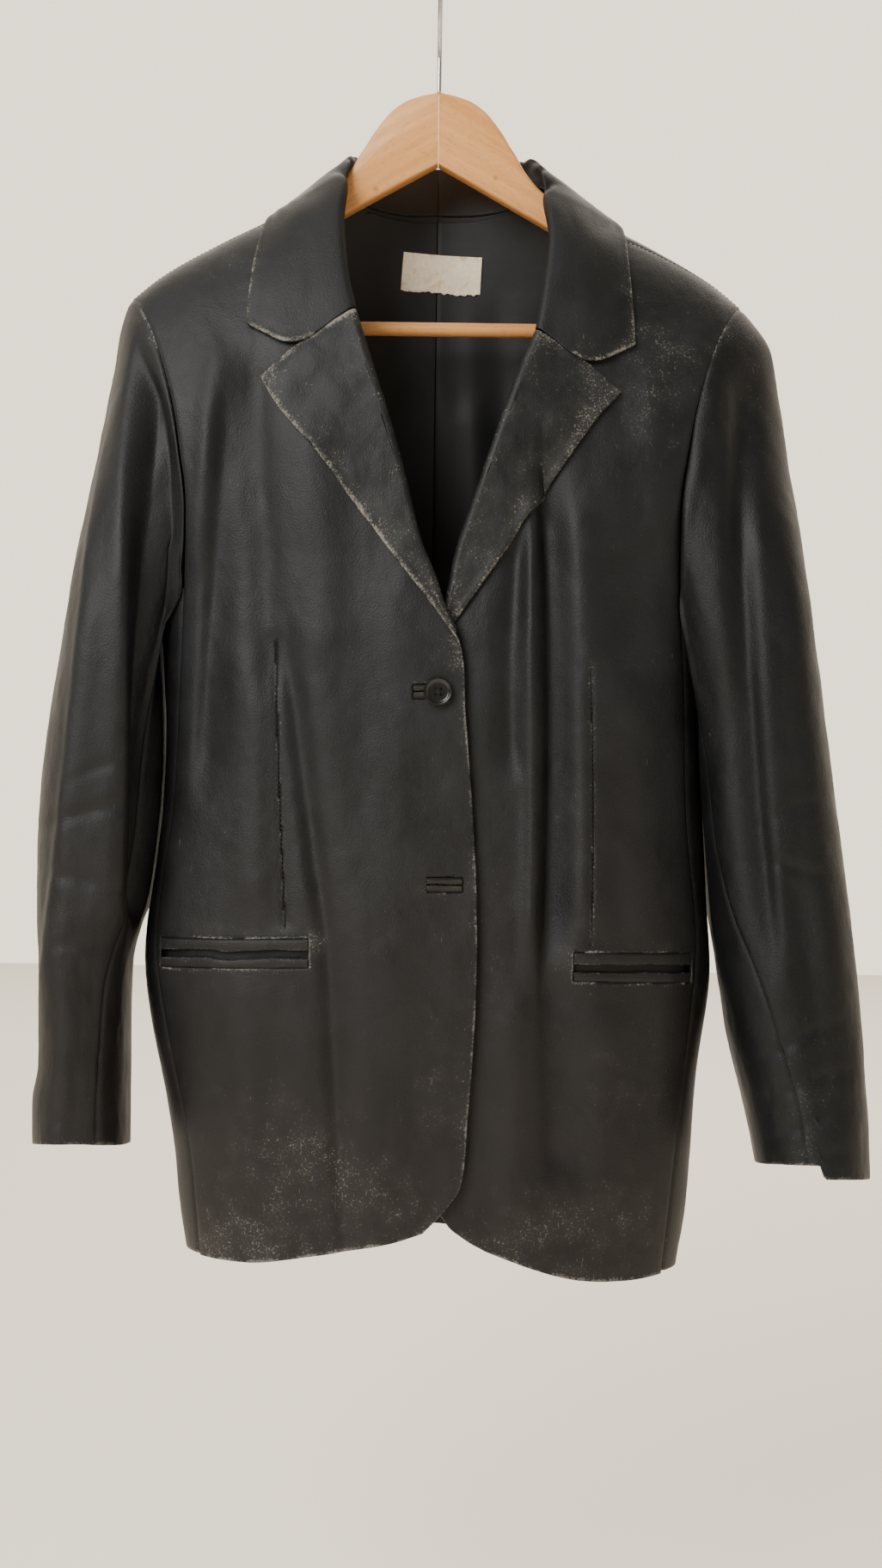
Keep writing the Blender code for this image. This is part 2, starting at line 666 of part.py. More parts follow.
def grid_normals(lines):
    """Normals of a grid of points, from their neighbours."""
    rows = len(lines)
    cols = len(lines[0])
    normals = []
    for i in range(rows):
        row = []
        for j in range(cols):
            along = lines[i][min(j + 1, cols - 1)] - lines[i][max(j - 1, 0)]
            down = lines[min(i + 1, rows - 1)][j] - lines[max(i - 1, 0)][j]
            row.append(along.cross(down).normalized())
        normals.append(row)
    return normals


def thick_grid(name, lines, wall, cloth):
    """A wall to both sides of a grid of points."""
    normals = grid_normals(lines)
    outer = [[p + n * wall / 2 for p, n in zip(*pair)] for pair in zip(lines, normals)]
    inner = [[p - n * wall / 2 for p, n in zip(*pair)] for pair in zip(lines, normals)]
    return wall_object(name, outer, inner, cloth)


def clear_of_torso(place, lift):
    """Push a point out until it lies lift off the shoulder's outer face."""
    x, y, z = place
    if z <= CHEST_Z:
        return place
    side = -1 if x < 0 else 1
    depth = front_depth(z) if y < 0 else back_depth(z)
    deep = depth * rounding(x / half_width[side](z))
    tall = ridge(x) - CHEST_Z
    size = math.hypot(y / deep, (z - CHEST_Z) / tall)
    reach = math.hypot(y, z - CHEST_Z) / size
    wanted = 1 + lift / reach
    if size >= wanted:
        return place
    return Vector((x, y * wanted / size, CHEST_Z + (z - CHEST_Z) * wanted / size))


def collar_in_front(side, fold, route, tuck):
    """Points across the collar in front: a tuck, the roll and the leaf along a route of (x, z)."""
    face = front_surface(side)
    middle = -WALL / 2
    way = (route(0.3) - fold).normalized()
    line = [on_front(side, face, fold + way * tuck, middle - ROLL_RADIUS)]
    for degrees in (-90, -45, 0, 45, 90):
        turn = math.radians(degrees)
        line.append(on_front(side, face, fold + way * ROLL_RADIUS * (1 - math.cos(turn)),
                             middle + ROLL_RADIUS * math.sin(turn)))
    for share in LEAF_SHARES:
        swell = LEAF_SWELL * 4 * share * (1 - share)
        line.append(on_front(side, face, route(share), LEAF_LIFT + swell))
    return line


def collar_stations(side):
    """The points across each station on one side, from the centre back to the gorge."""
    wider = NECK_X[side] / NECK_X[-1]
    back = back_surface(side)
    spots = [profile([(station[0], station[k][axis]) for station in COLLAR_BACK])
             for k in (1, 2, 3) for axis in (0, 1, 2)]
    made = []
    for share in BACK_SHARES:
        x = side * NECK_X[side] * share
        foot = back(x, neck_h(side, x)) + Vector((-1.6 * side * ease((share - 0.5) * 2), 0, 0.9))
        values = [spot(share) for spot in spots]
        made.append(collar_line([foot] + [Vector((side * values[k] * mix(1, wider, share),
                                                  values[k + 1], values[k + 2])) for k in (0, 3, 6)]))
    for station in COLLAR_SIDE[side]:
        made.append(collar_line([Vector((side * p[0], p[1], p[2])) for p in station]))
    for fold, edge, tuck in COLLAR_FRONT[side]:
        fold = Vector((side * fold[0], fold[1]))
        edge = Vector((side * edge[0], edge[1]))
        made.append(collar_in_front(side, fold, path([fold, edge]), tuck))
    up = Vector((0.0, 1.1))
    gorge, notch, point = (Vector(spot[side]) + up for spot in (GORGE, NOTCH, COLLAR_POINT))
    made.append(collar_in_front(side, gorge, path([gorge, notch, point]), 9.0))
    return made


def collar_line(station):
    """Points across the collar at one station behind: stand, fold and leaf."""
    foot, fold, middle, edge = station
    rise = (fold - foot).normalized()
    fall = (middle - fold).normalized()
    crown = fold + (rise - fall) * 0.6
    curve = path([foot, foot * 0.45 + fold * 0.55, fold - rise * 2.0, crown, fold + fall * 4.5,
                  fold * 0.5 + middle * 0.5 + Vector((0, 0, 0.8)), middle, edge])
    return [curve(share) for share in STAND_SHARES]


def build_collar(name):
    """The collar from the left gorge round the neck to the right one."""
    tables = {}
    for side in (-1, 1):
        rows = collar_stations(side)
        tables[side] = [path([row[k] for row in rows]) for k in range(len(STAND_SHARES))]
    lines = []
    for share in [-s for s in reversed(COLLAR_ROWS[1:])] + list(COLLAR_ROWS):
        side = -1 if share < 0 else 1
        line = [curve(abs(share)) for curve in tables[side]]
        leaf = [clear_of_torso(p, LEAF_LIFT) if k > 4 else p for k, p in enumerate(line)]
        lines.append(leaf)
    return thick_grid(name, lines, LAPEL_WALL, leather())


def strip(name, side, x_range, z_range, slope, lift, wall, cloth, cols=8):
    """A strip on a front between two x and two heights, which fall with slope along x."""
    face = front_surface(side)
    outer = []
    inner = []
    for z in z_range:
        spots = [mix(x_range[0], x_range[1], u) for u in steps(cols)]
        places = [face(x, z + slope * abs(x - x_range[0]) - CHEST_Z) for x in spots]
        outer.append([p - Vector((0, lift, 0)) for p in places])
        inner.append([p - Vector((0, lift - wall, 0)) for p in places])
    return wall_object(name, outer, inner, cloth)


def window(target, side, x_range, z_range, slope):
    """Cut an upright slot through a front."""
    start = x_range[0]
    corners = []
    for y in (-140.0, -20.0):
        for x, z in ((x_range[0], z_range[0]), (x_range[1], z_range[0]),
                     (x_range[1], z_range[1]), (x_range[0], z_range[1])):
            corners.append(Vector((x, y, z + slope * abs(x - start))))
    faces = [(0, 1, 2, 3), (7, 6, 5, 4), (0, 4, 5, 1), (1, 5, 6, 2), (2, 6, 7, 3), (3, 7, 4, 0)]
    name = target.name + "_cutter_" + str(len(target.modifiers))
    cutter = bpy.data.objects.new(name, mesh_from(name, corners, faces))
    bpy.context.scene.collection.objects.link(cutter)
    cutter.hide_render = True
    cutter.display_type = "WIRE"
    cut = target.modifiers.new("cut", "BOOLEAN")
    cut.operation = "DIFFERENCE"
    cut.object = cutter


def build_pocket(side, front, name):
    """A double-welt pocket set into a front."""
    x_in, z_top, slope = POCKET[side]
    upper, gap, lower = POCKET_WELTS
    z_low = z_top - upper - gap - lower
    outer = front_edges(side)[1](z_top - CHEST_Z)
    x_out = outer - side * POCKET_STOP
    ends = sorted((x_in, x_out), key=abs)
    window(front, side, ends, (z_low, z_top), slope)
    inside = (ends[0] + side * FIT, ends[1] - side * FIT)
    strip(name + "_welt_upper", side, inside, (z_top - upper, z_top - FIT), slope, 1.0, 3.0, leather())
    strip(name + "_welt_lower", side, inside, (z_low + FIT, z_low + lower), slope, 1.0, 3.0, leather())
    behind = [[(x, z + slope * abs(x - ends[0]) - CHEST_Z)
               for x in (mix(ends[0] - side * 3, ends[1] - side, u) for u in steps(8))]
              for z in (z_low - 4, z_top + 4)]
    sheet(name + "_facing", front_surface(side), behind, 1, -WALL - 1.5, 1.2, leather())


def build_buttonhole(front, where):
    """A bound buttonhole: two lips in a slot of the lapped front."""
    x, z = BUTTONHOLES[where]
    long, tall = BUTTONHOLE_SIZE
    ends = (x + long / 2, x - long / 2)
    window(front, -1, ends, (z - tall / 2, z + tall / 2), 0.0)
    inside = (ends[0] - FIT, ends[1] + FIT)
    name = "buttonhole_" + where
    strip(name + "_lip_top", -1, inside, (z + 0.25, z + tall / 2 - FIT), 0.0, 0.6, 2.4, leather(), 4)
    strip(name + "_lip_bottom", -1, inside, (z - tall / 2 + FIT, z - 0.25), 0.0, 0.6, 2.4, leather(), 4)


def build_button(where, side, lift):
    """A four-hole button with a raised rim, its back lift off a front."""
    x, z = BUTTONS[where]
    face = front_surface(side)
    spot = face(x, z - CHEST_Z)
    outline = [(0, 0), (BUTTON_RADIUS * 0.8, 0), (BUTTON_RADIUS, 1.0), (BUTTON_RADIUS, BUTTON_THICK - 0.7),
               (BUTTON_RADIUS - 0.7, BUTTON_THICK), (BUTTON_RADIUS - 1.9, BUTTON_THICK),
               (BUTTON_RADIUS - 3.0, BUTTON_THICK - 1.0), (0, BUTTON_THICK - 1.0)]
    sides = 18
    corners = [Vector((0, 0, 0))]
    for radius, height in outline[1:-1]:
        for k in range(sides):
            turn = 2 * math.pi * k / sides
            corners.append(Vector((radius * math.cos(turn), -height, radius * math.sin(turn))))
    corners.append(Vector((0, -(BUTTON_THICK - 1.0), 0)))
    rings = len(outline) - 2
    faces = []
    for k in range(sides):
        nxt = (k + 1) % sides
        faces.append((0, 1 + k, 1 + nxt))
        for ring in range(rings - 1):
            a = 1 + ring * sides
            faces.append((a + k, a + sides + k, a + sides + nxt, a + nxt))
        last = 1 + (rings - 1) * sides
        faces.append((last + nxt, last + k, len(corners) - 1))
    button = add_object("button_" + where, mesh_from("button_" + where, corners, faces),
                        material("black_horn", "17171a", 0.3))
    button.location = (spot - Vector((0, lift, 0))) * MM
    for k in range(4):
        turn = math.radians(45 + 90 * k)
        cutter_mesh = bpy.data.meshes.new("hole")
        work = bmesh.new()
        bmesh.ops.create_cone(work, cap_ends=True, segments=6, radius1=0.95 * MM, radius2=0.95 * MM,
                              depth=12 * MM)
        work.to_mesh(cutter_mesh)
        work.free()
        cutter = bpy.data.objects.new("button_" + where + "_hole", cutter_mesh)
        bpy.context.scene.collection.objects.link(cutter)
        offset = Vector((2.3 * math.cos(turn), 0, 2.3 * math.sin(turn)))
        cutter.matrix_world = (Matrix.Translation(button.location + offset * MM)
                               @ Matrix.Rotation(math.radians(90), 4, "X"))
        cutter.hide_render = True
        cutter.display_type = "WIRE"
        cut = button.modifiers.new("hole", "BOOLEAN")
        cut.operation = "DIFFERENCE"
        cut.object = cutter


def build_lining(side, name):
    """Half of the back lining where the neck opening shows it."""
    def top(x):
        flat = NECK_X[side] - LINING_CORNER
        if abs(x) <= flat:
            return neck_h(side, x) - 2.5
        steep = ARC * math.radians(50)
        return mix(neck_h(side, side * flat) - 2.5, steep, ease((abs(x) - flat) / LINING_CORNER))
    grid = []
    for v in steps(11):
        row = []
        for u in steps(6):
            x = side * mix(SEAM, LINING_X, u)
            row.append((x, mix(-60.0, top(x), v)))
        grid.append(row)
    return sheet(name, back_surface(side), grid, -1, LINING_LIFT, LINING_WALL,
                 material("black_lining", "1f2022", 0.4))


def build_label(name):
    """The bare woven label on the lining."""
    face_right = back_surface(1)
    face_left = back_surface(-1)

    def face(x, z):
        surface = face_right if x >= 0 else face_left
        return surface(x, height_at(x, z))
    long, tall = LABEL_SIZE
    turn = math.radians(LABEL_TURN)
    grid = []
    for v in steps(3):
        row = []
        for u in steps(8):
            a = mix(-long / 2, long / 2, u)
            b = mix(-tall / 2, tall / 2, v)
            row.append((LABEL_CENTRE[0] + a * math.cos(turn) - b * math.sin(turn),
                        LABEL_CENTRE[1] + a * math.sin(turn) + b * math.cos(turn)))
        grid.append(row)
    lift = LINING_LIFT - LINING_WALL - 0.7
    return sheet(name, face, grid, -1, lift, 0.6, material("label_cloth", "e6d3b5", 0.9))


def build_arm(side, name):
    """One wooden arm, sawn from a board, with the lug that holds the bar."""
    top = [(x, z) for x, z in HUMP]
    top += [(x, ridge(x) - ARM_DROP) for x in (90, 105, 119, 135, 150, 172, 193, 206)]
    tip = [(213, -250), (215, -258), (213, -268), (208, -273), (BAR_END + 4, -273), (BAR_END, -270)]
    low = [(x, ARM_LOW_Z - ARM_SLOPE * x) for x in (BAR_END, 160, 110, 60, 30, 0.15)]
    outline = [Vector((side * x, 0, z)) for x, z in top + tip + low]
    half = HANGER_THICK / 2
    corners = [p + Vector((0, -half, 0)) for p in outline] + [p + Vector((0, half, 0)) for p in outline]
    count = len(outline)
    faces = [tuple(range(count)), tuple(reversed(range(count, 2 * count)))]
    faces += [(k, (k + 1) % count, count + (k + 1) % count, count + k) for k in range(count)]
    mesh = mesh_from(name, corners, faces)
    work = bmesh.new()
    work.from_mesh(mesh)
    rims = [edge for edge in work.edges
            if abs(edge.verts[0].co.y - edge.verts[1].co.y) < 0.1 * MM
            and max(abs(corner.co.x) for corner in edge.verts) > 1.0 * MM]
    bmesh.ops.bevel(work, geom=rims, offset=EASED * MM, segments=1, affect="EDGES")
    work.to_mesh(mesh)
    work.free()
    return add_object(name, mesh, material("beech", "dfae7c", 0.5))


def build_bar(name):
    """The round trouser bar between the arms' lugs."""
    mesh = bpy.data.meshes.new(name)
    work = bmesh.new()
    length = 2 * (BAR_END - FIT) * MM
    bmesh.ops.create_cone(work, cap_ends=True, segments=16, radius1=BAR_RADIUS * MM,
                          radius2=BAR_RADIUS * MM, depth=length)
    work.to_mesh(mesh)
    work.free()
    bar = add_object(name, mesh, material("beech", "dfae7c", 0.5))
    bar.rotation_euler = (0, math.radians(90), 0)
    bar.location = Vector((0, 0, BAR_Z)) * MM
    return bar


def build_hook(name):
    """The wire hook, from its tip over the crown and down an easy bend to the wood."""
    middle = HOOK_RADIUS + WIRE_RADIUS
    points = []
    for degrees in range(-25, 201, 15):
        turn = math.radians(degrees)
        points.append(Vector((0, middle * math.cos(turn), -HOOK_RADIUS + middle * math.sin(turn))))
    start = points[-1]
    bend = path([start, Vector((0, -13, -46)), Vector((0, -4.5, -57)), Vector((0, 0, -68)),
                 Vector((0, 0, -78)), Vector((0, 0, -88)), Vector((0, 0, -94.7))])
    points += [bend(t) for t in steps(10)[1:]]
    curve = bpy.data.curves.new(name, "CURVE")
    curve.dimensions = "3D"
    spline = curve.splines.new("POLY")
    spline.points.add(len(points) - 1)
    for spot, place in zip(spline.points, points):
        spot.co = (*(place * MM), 1)
    curve.bevel_depth = WIRE_RADIUS * MM
    curve.bevel_resolution = 2
    curve.use_fill_caps = True
    curve.materials.append(material("bright_wire", "b9bbbd", 0.25, 1.0))
    hook = bpy.data.objects.new(name, curve)
    bpy.context.scene.collection.objects.link(hook)
    return hook


def build():
    for old in list(bpy.data.objects):
        bpy.data.objects.remove(old, do_unlink=True)
    for side, wearer in ((-1, "right"), (1, "left")):
        front = build_front(side, "front_" + wearer)
        build_back(side, "back_" + wearer)
        build_side(side, "side_" + wearer)
        build_sleeve(side, "sleeve_upper_" + wearer, SLEEVE_BACK_SEAM - 360, SLEEVE_FRONT_SEAM)
        build_sleeve(side, "sleeve_under_" + wearer, SLEEVE_FRONT_SEAM, SLEEVE_BACK_SEAM)
        build_lapel(side, "lapel_" + wearer)
        build_pocket(side, front, "pocket_" + wearer)
        build_lining(side, "lining_" + wearer)
        build_arm(side, "hanger_arm_" + wearer)
        if side < 0:
            for where in BUTTONHOLES:
                build_buttonhole(front, where)
    build_collar("collar")
    build_button("upper", -1, 1.1)
    build_button("lower", 1, 0.4)
    build_label("label")
    build_bar("hanger_bar")
    build_hook("hanger_hook")


build()
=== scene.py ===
# %% [markdown]
# # A worn leather coat on a wooden hanger
# The coat is cut and sewn from flat pieces of leather, so it is built here the way it is sewn:
# panel by panel, each one a thin wall that hangs from the shoulders. The solids that the packed
# model brings in are coarse, so each cloth piece is made again from the same measures with a
# finer grid, and it then stands for its solid.

# %% Load the imported coat
import math

import bmesh
import bpy
import numpy as np
from mathutils import Matrix, Vector


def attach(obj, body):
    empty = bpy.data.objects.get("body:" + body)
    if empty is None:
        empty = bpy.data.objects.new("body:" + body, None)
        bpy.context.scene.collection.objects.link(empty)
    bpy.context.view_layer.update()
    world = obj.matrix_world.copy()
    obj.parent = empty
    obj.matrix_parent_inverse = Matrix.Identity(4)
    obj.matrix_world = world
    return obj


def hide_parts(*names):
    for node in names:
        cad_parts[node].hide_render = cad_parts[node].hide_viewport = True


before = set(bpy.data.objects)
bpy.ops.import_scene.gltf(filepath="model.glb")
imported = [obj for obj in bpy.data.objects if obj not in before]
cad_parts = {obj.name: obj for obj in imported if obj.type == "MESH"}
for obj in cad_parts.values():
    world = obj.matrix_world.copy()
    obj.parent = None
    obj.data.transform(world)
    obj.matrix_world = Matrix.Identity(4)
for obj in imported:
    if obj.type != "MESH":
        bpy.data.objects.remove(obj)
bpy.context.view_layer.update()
MM = 0.001

# %% [markdown]
# The camera comes first, because every later choice is judged through it. The photograph was
# taken about one and a half metres in front of the coat, and the phone was rolled by less than
# a degree. The coat hangs plumb, so the camera carries that roll.

# %% Camera
CAMERA_PLACE = (0, -1.5, -0.588)
CAMERA_ROLL = math.radians(-0.8)
FOCAL_LENGTH = 48.14          # for a sensor 36 mm tall

camera = bpy.data.objects.new("photo_camera", bpy.data.cameras.new("photo_camera"))
camera.data.sensor_fit = "VERTICAL"
camera.data.sensor_height = 36
camera.data.lens = FOCAL_LENGTH
camera.matrix_world = (Matrix.Rotation(CAMERA_ROLL, 4, "Y") @ Matrix.Translation(CAMERA_PLACE)
                       @ Matrix.Rotation(math.radians(90), 4, "X"))
bpy.context.scene.collection.objects.link(camera)
bpy.context.scene.camera = camera
print("camera at", [round(c, 3) for c in camera.matrix_world.translation])

# %% [markdown]
# Most measures of a coat are lists: so wide at this height, so deep at that one. A smooth curve
# through such pairs gives every value between them. The helpers work on whole arrays at once,
# which makes fine grids of cloth quick to shape.

# %% Curves through measures


def profile(pairs):
    """A smooth value between (key, value) pairs in rising order, level beyond the ends."""
    keys, values = np.array(pairs, float).T
    index = np.arange(len(keys))
    low, high = np.maximum(index - 1, 0), np.minimum(index + 1, len(keys) - 1)
    slopes = (values[high] - values[low]) / (keys[high] - keys[low])

    def value(key):
        key = np.clip(key, keys[0], keys[-1])
        i = np.clip(np.searchsorted(keys, key, side="right") - 1, 0, len(keys) - 2)
        span = keys[i + 1] - keys[i]
        t = (key - keys[i]) / span
        return ((1 + 2 * t) * (1 - t) ** 2 * values[i] + t * (1 - t) ** 2 * span * slopes[i]
                + t * t * (3 - 2 * t) * values[i + 1] + t * t * (t - 1) * span * slopes[i + 1])
    return value


def path(points):
    """A smooth curve through points, as a function of 0 to 1 by length."""
    places = np.array(points, float)
    lengths = np.concatenate(([0.0], np.cumsum(np.linalg.norm(np.diff(places, axis=0), axis=1))))
    axes = [profile(np.column_stack((lengths / lengths[-1], places[:, k])))
            for k in range(places.shape[1])]
    return lambda t: np.stack([axis(t) for axis in axes], -1)


def mix(a, b, t):
    return a + (b - a) * t


def ease(t):
    t = np.clip(t, 0.0, 1.0)
    return t * t * (3 - 2 * t)


def steps(count):
    return np.linspace(0, 1, count + 1)


def near(distance, reach):
    return np.exp(-(distance / reach) ** 2)


def unit(vectors):
    return vectors / np.maximum(np.linalg.norm(vectors, axis=-1, keepdims=True), 1e-9)


def stations(length, step, ends=(0.0, 0.5, 1.1, 1.9, 3.0, 4.5)):
    """Shares of a length: a step apart in the middle and closer beside both ends."""
    ends = np.array(ends)
    count = max(int(round((length - 2 * ends[-1]) / step)), 1)
    middle = np.linspace(ends[-1], length - ends[-1], count + 1)
    return np.concatenate((ends[:-1], middle, length - ends[-2::-1])) / length


def uneven(a, b, size, seed):
    """A smooth random height from -1 to 1 that changes over size millimetres."""
    cells = 64
    table = np.random.default_rng(seed).uniform(-1, 1, (cells, cells))
    p, q = np.asarray(a) / size, np.asarray(b) / size
    i, j = np.floor(p).astype(int), np.floor(q).astype(int)
    s, t = ease(p - i), ease(q - j)

    def at(di, dj):
        return table[(i + di) % cells, (j + dj) % cells]
    return mix(mix(at(0, 0), at(1, 0), s), mix(at(0, 1), at(1, 1), s), t)


print("a station list:", np.round(stations(30, 5), 2))

# %% [markdown]
# The torso's measures. Side -1 is the viewer's left, the wearer's right. A height on the torso
# is h: below the chest line it is plain millimetres, and above it runs as an arc over the
# shoulder, so that the front and the back meet in one round ridge on the hanger.

# %% Measures of the torso
SIDES = ((-1, "right"), (1, "left"))      # each side of the model, and the wearer's name for it
WALL = 1.8            # leather with its backing
LAPEL_WALL = 2.0      # lapels and collar, two layers
SEAM = 0.15           # each panel stops this far short of its seam line
TOP_SEAM = 0.25
STEP = 0.5            # reach of the differences that give a surface's normal
CHEST_Z = -430.0
ARC = 150.0           # millimetres of h for one radian over the shoulder
SQUARE = 2.6          # exponent of the torso's rounded section
TIP_X = 219.0         # where the shoulder seam meets the sleeve
ARMPIT_H = -25.0
NECK_X = {-1: 70.0, 1: 80.0}
half_width = {
    -1: profile([(-925, 167), (-885, 173.5), (-841, 178.5), (-792, 188), (-760, 195), (-718, 200.5),
                 (-685, 199), (-650, 194), (-600, 189), (-540, 188), (-455, 197), (-400, 222), (-350, 245),
                 (-300, 262), (-230, 278)]),
    1: profile([(-925, 180), (-885, 186), (-820, 190.5), (-784, 193.5), (-735, 200), (-710, 201), (-665, 198),
                (-600, 194), (-540, 191), (-455, 197), (-400, 222), (-350, 245), (-300, 262), (-230, 278)]),
}
front_depth = profile([(-925, 75), (-820, 80), (-700, 83), (-600, 80), (-500, 82), (-430, 78)])
back_depth = profile([(-925, 72), (-800, 70), (-700, 67), (-600, 53), (-500, 56), (-430, 62)])
ridge_line = profile([(-30, -88), (0, -50), (30, -88), (50, -125), (72, -156), (95, -172.5), (119, -187),
                      (150, -202.5), (193, -227), (219, -248), (245, -272)])
LAP_FROM, LAP_RAMP = {-1: -62.0, 1: 76.0}, 50.0     # where a front starts to rise over the other, or sink
lap_lift = profile([(-925, 2.4), (-840, 3.2), (-700, 3.9), (-520, 4.2), (-480, 5.2), (-440, 5.2),
                    (-370, 1.5), (-330, 0)])


def ridge(x):
    """Height of the shoulder's ridge."""
    return ridge_line(np.abs(x))


def height_at(x, z):
    share = np.clip((z - CHEST_Z) / (ridge(x) - CHEST_Z), 0.0, 1.0)
    return np.where(z <= CHEST_Z, z - CHEST_Z, ARC * np.arcsin(share))


def z_at(x, h):
    return np.where(h <= 0, CHEST_Z + h, CHEST_Z + (ridge(x) - CHEST_Z) * np.sin(h / ARC))


def rounding(ratio):
    """Share of the full depth at a share of the half width."""
    return np.maximum(1 - np.abs(ratio) ** SQUARE, 0.0) ** (1 / SQUARE)


print("half width at the chest:", float(half_width[1](CHEST_Z)), "mm")

# %% [markdown]
# Leather doesn't fall in even waves. Its folds run from the points that carry it, are soft on
# one side and sharp on the other, and fade out. Each fold is a line from the top to the foot,
# with a breadth on either side of it and a rise, which is negative for a groove. Where the left
# breadth is None the fold is a step, and the cloth to its right lies lower. They could be
# simulated, but the photograph fixes where every one lies, so they are placed.

# %% Folds of the front and back
FRONT_FOLDS = {
    -1: [([(-124, -300), (-120, -370), (-114, -440), (-110, -520)], 14, 12, -5.5),
         ([(-142, -330), (-146, -400), (-152, -505), (-160, -590)], 7, 20, -6.0),
         ([(-84, -345), (-78, -420), (-74, -500)], 16, 18, 3.4),
         ([(-150, -290), (-158, -370), (-164, -440)], 8, 10, 3.0),
         ([(-97, -490), (-88, -560), (-76, -640), (-66, -700), (-60, -780), (-52, -900)], 7, 14, -5.0),
         ([(-84, -500), (-74, -580), (-62, -670), (-54, -760), (-46, -890)], 9, 26, 4.2),
         ([(-126, -500), (-122, -590), (-118, -670)], 16, 12, 2.6),
         ([(-30, -560), (-26, -650), (-20, -780)], 20, 18, 1.6),
         ([(-126, -720), (-120, -800), (-118, -890)], 18, 16, 2.6)],
    1: [([(74, -375), (79, -452), (82, -560), (82, -640), (80, -712)], 4, 16, -11.0),
        ([(60, -415), (56, -470), (54, -512), (56, -575)], 9, 7, -4.5),
        ([(66, -415), (69, -520), (71, -640), (70, -700)], 6, 4, 4.0),
        ([(96, -395), (100, -440), (104, -540), (107, -645), (110, -690)], 12, 22, 6.0),
        ([(28, -470), (32, -560), (38, -650)], 12, 16, 1.8),
        ([(84, -722), (86, -770), (89, -850)], 9, 20, -6.0),
        ([(58, -730), (60, -800), (62, -890)], 14, 14, 3.0),
        ([(136, -520), (143, -600), (150, -690)], 14, 18, 3.6),
        ([(120, -745), (125, -800), (128, -870)], 15, 18, 3.0),
        ([(150, -300), (152, -360), (156, -430)], 12, 12, 2.0)],
}
BACK_FOLDS = {
    -1: [([(-62, -540), (-70, -750)], 20, 14, -5.0), ([(-132, -330), (-120, -570)], 14, 18, 4.0),
         ([(-90, -720), (-84, -918)], 12, 20, -5.0), ([(-40, -600), (-44, -800)], 16, 12, 2.4),
         ([(-20, -300), (-34, -430)], 14, 20, -2.0)],
    1: [([(64, -540), (58, -740)], 14, 20, -5.0), ([(136, -330), (122, -550)], 18, 14, 4.0),
        ([(96, -720), (90, -918)], 20, 12, -5.0), ([(36, -610), (34, -790)], 12, 16, 2.4),
        ([(24, -310), (36, -440)], 20, 14, -2.0)],
}


def fold_height(folds, x, z):
    """Sum of the ridges and grooves at (x, z)."""
    total = np.zeros(np.broadcast(x, z).shape)
    for line, left, right, rise in folds:
        spots = sorted(line, key=lambda spot: spot[1])
        middle = profile([(spot[1], spot[0]) for spot in spots])
        low, high = spots[0][1], spots[-1][1]
        across = x - middle(z)
        reach = 0.22 * (high - low)
        ends = ease((z - low) / reach + 0.5) * ease((high - z) / reach + 0.5)
        if left is None:            # a step: all that lies to the right drops
            shape = ease(across / right)
        else:
            across = across / np.where(across < 0, left, right)
            shape = np.exp(-across * across)
        total = total + rise * shape * ends
    return total


def settle(x, z, seed):
    """The small unevenness of leather that has been worn, longer upright than across."""
    return (0.9 * uneven(x, z * 0.32, 21, seed) + 0.45 * uneven(x, z * 0.6, 9, seed + 1)
            + 0.2 * uneven(x + z * 0.2, z, 4.2, seed + 2))


print("folds in front:", {side: len(folds) for side, folds in FRONT_FOLDS.items()})

# %% [markdown]
# The outer faces of the fronts, the back and the side panels. Each is a function of a place
# across and a height, so that any piece that lies on it, such as a lapel or a pocket, can ask
# where the cloth is and which way it faces.

# %% Outer faces of the torso
DARTS = {-1: [(-106, -488), (-102, -588), (-96, -690)], 1: [(109, -506), (112, -600), (112, -700)]}
dart_line = {side: profile([(z, x) for x, z in sorted(spots, key=lambda spot: spot[1])])
             for side, spots in DARTS.items()}


def along_dart(side, z):
    return ease((z - DARTS[side][-1][1]) / 6) * ease((DARTS[side][0][1] - z) / 10 + 0.6)


def dart_heights(side, count):
    """Heights down the sewn part of a dart, from its upper end."""
    return np.linspace(DARTS[side][0][1] - 2, DARTS[side][-1][1] + 3, count)


def dart_groove(side, x, z):
    """The sewn line of the waist dart: a fine valley that pulls the cloth in beside it."""
    away, inside = x - dart_line[side](z), along_dart(side, z)
    return inside * (-0.9 * near(away, 1.8) - 1.2 * near(away, 9.0))


def front_face(side):
    width = half_width[side]

    def point(x, h):
        x, h = np.broadcast_arrays(np.asarray(x, float), np.asarray(h, float))
        z = z_at(x, h)
        swing = np.where(h > 0, np.cos(h / ARC), 1.0)
        y = -front_depth(z) * swing * rounding(x / width(z))
        near_edge = -side * ease(side * (LAP_FROM[side] - x) / LAP_RAMP)
        fade = ease((0.93 * width(z) - np.abs(x)) / 24) * ease(swing * 2)
        folds = fold_height(FRONT_FOLDS[side], x, z) + 0.7 * settle(x, z, 10 + side)
        y = y - lap_lift(z) * near_edge - (folds + dart_groove(side, x, z)) * fade
        return np.stack((x, y, z), -1)
    return point


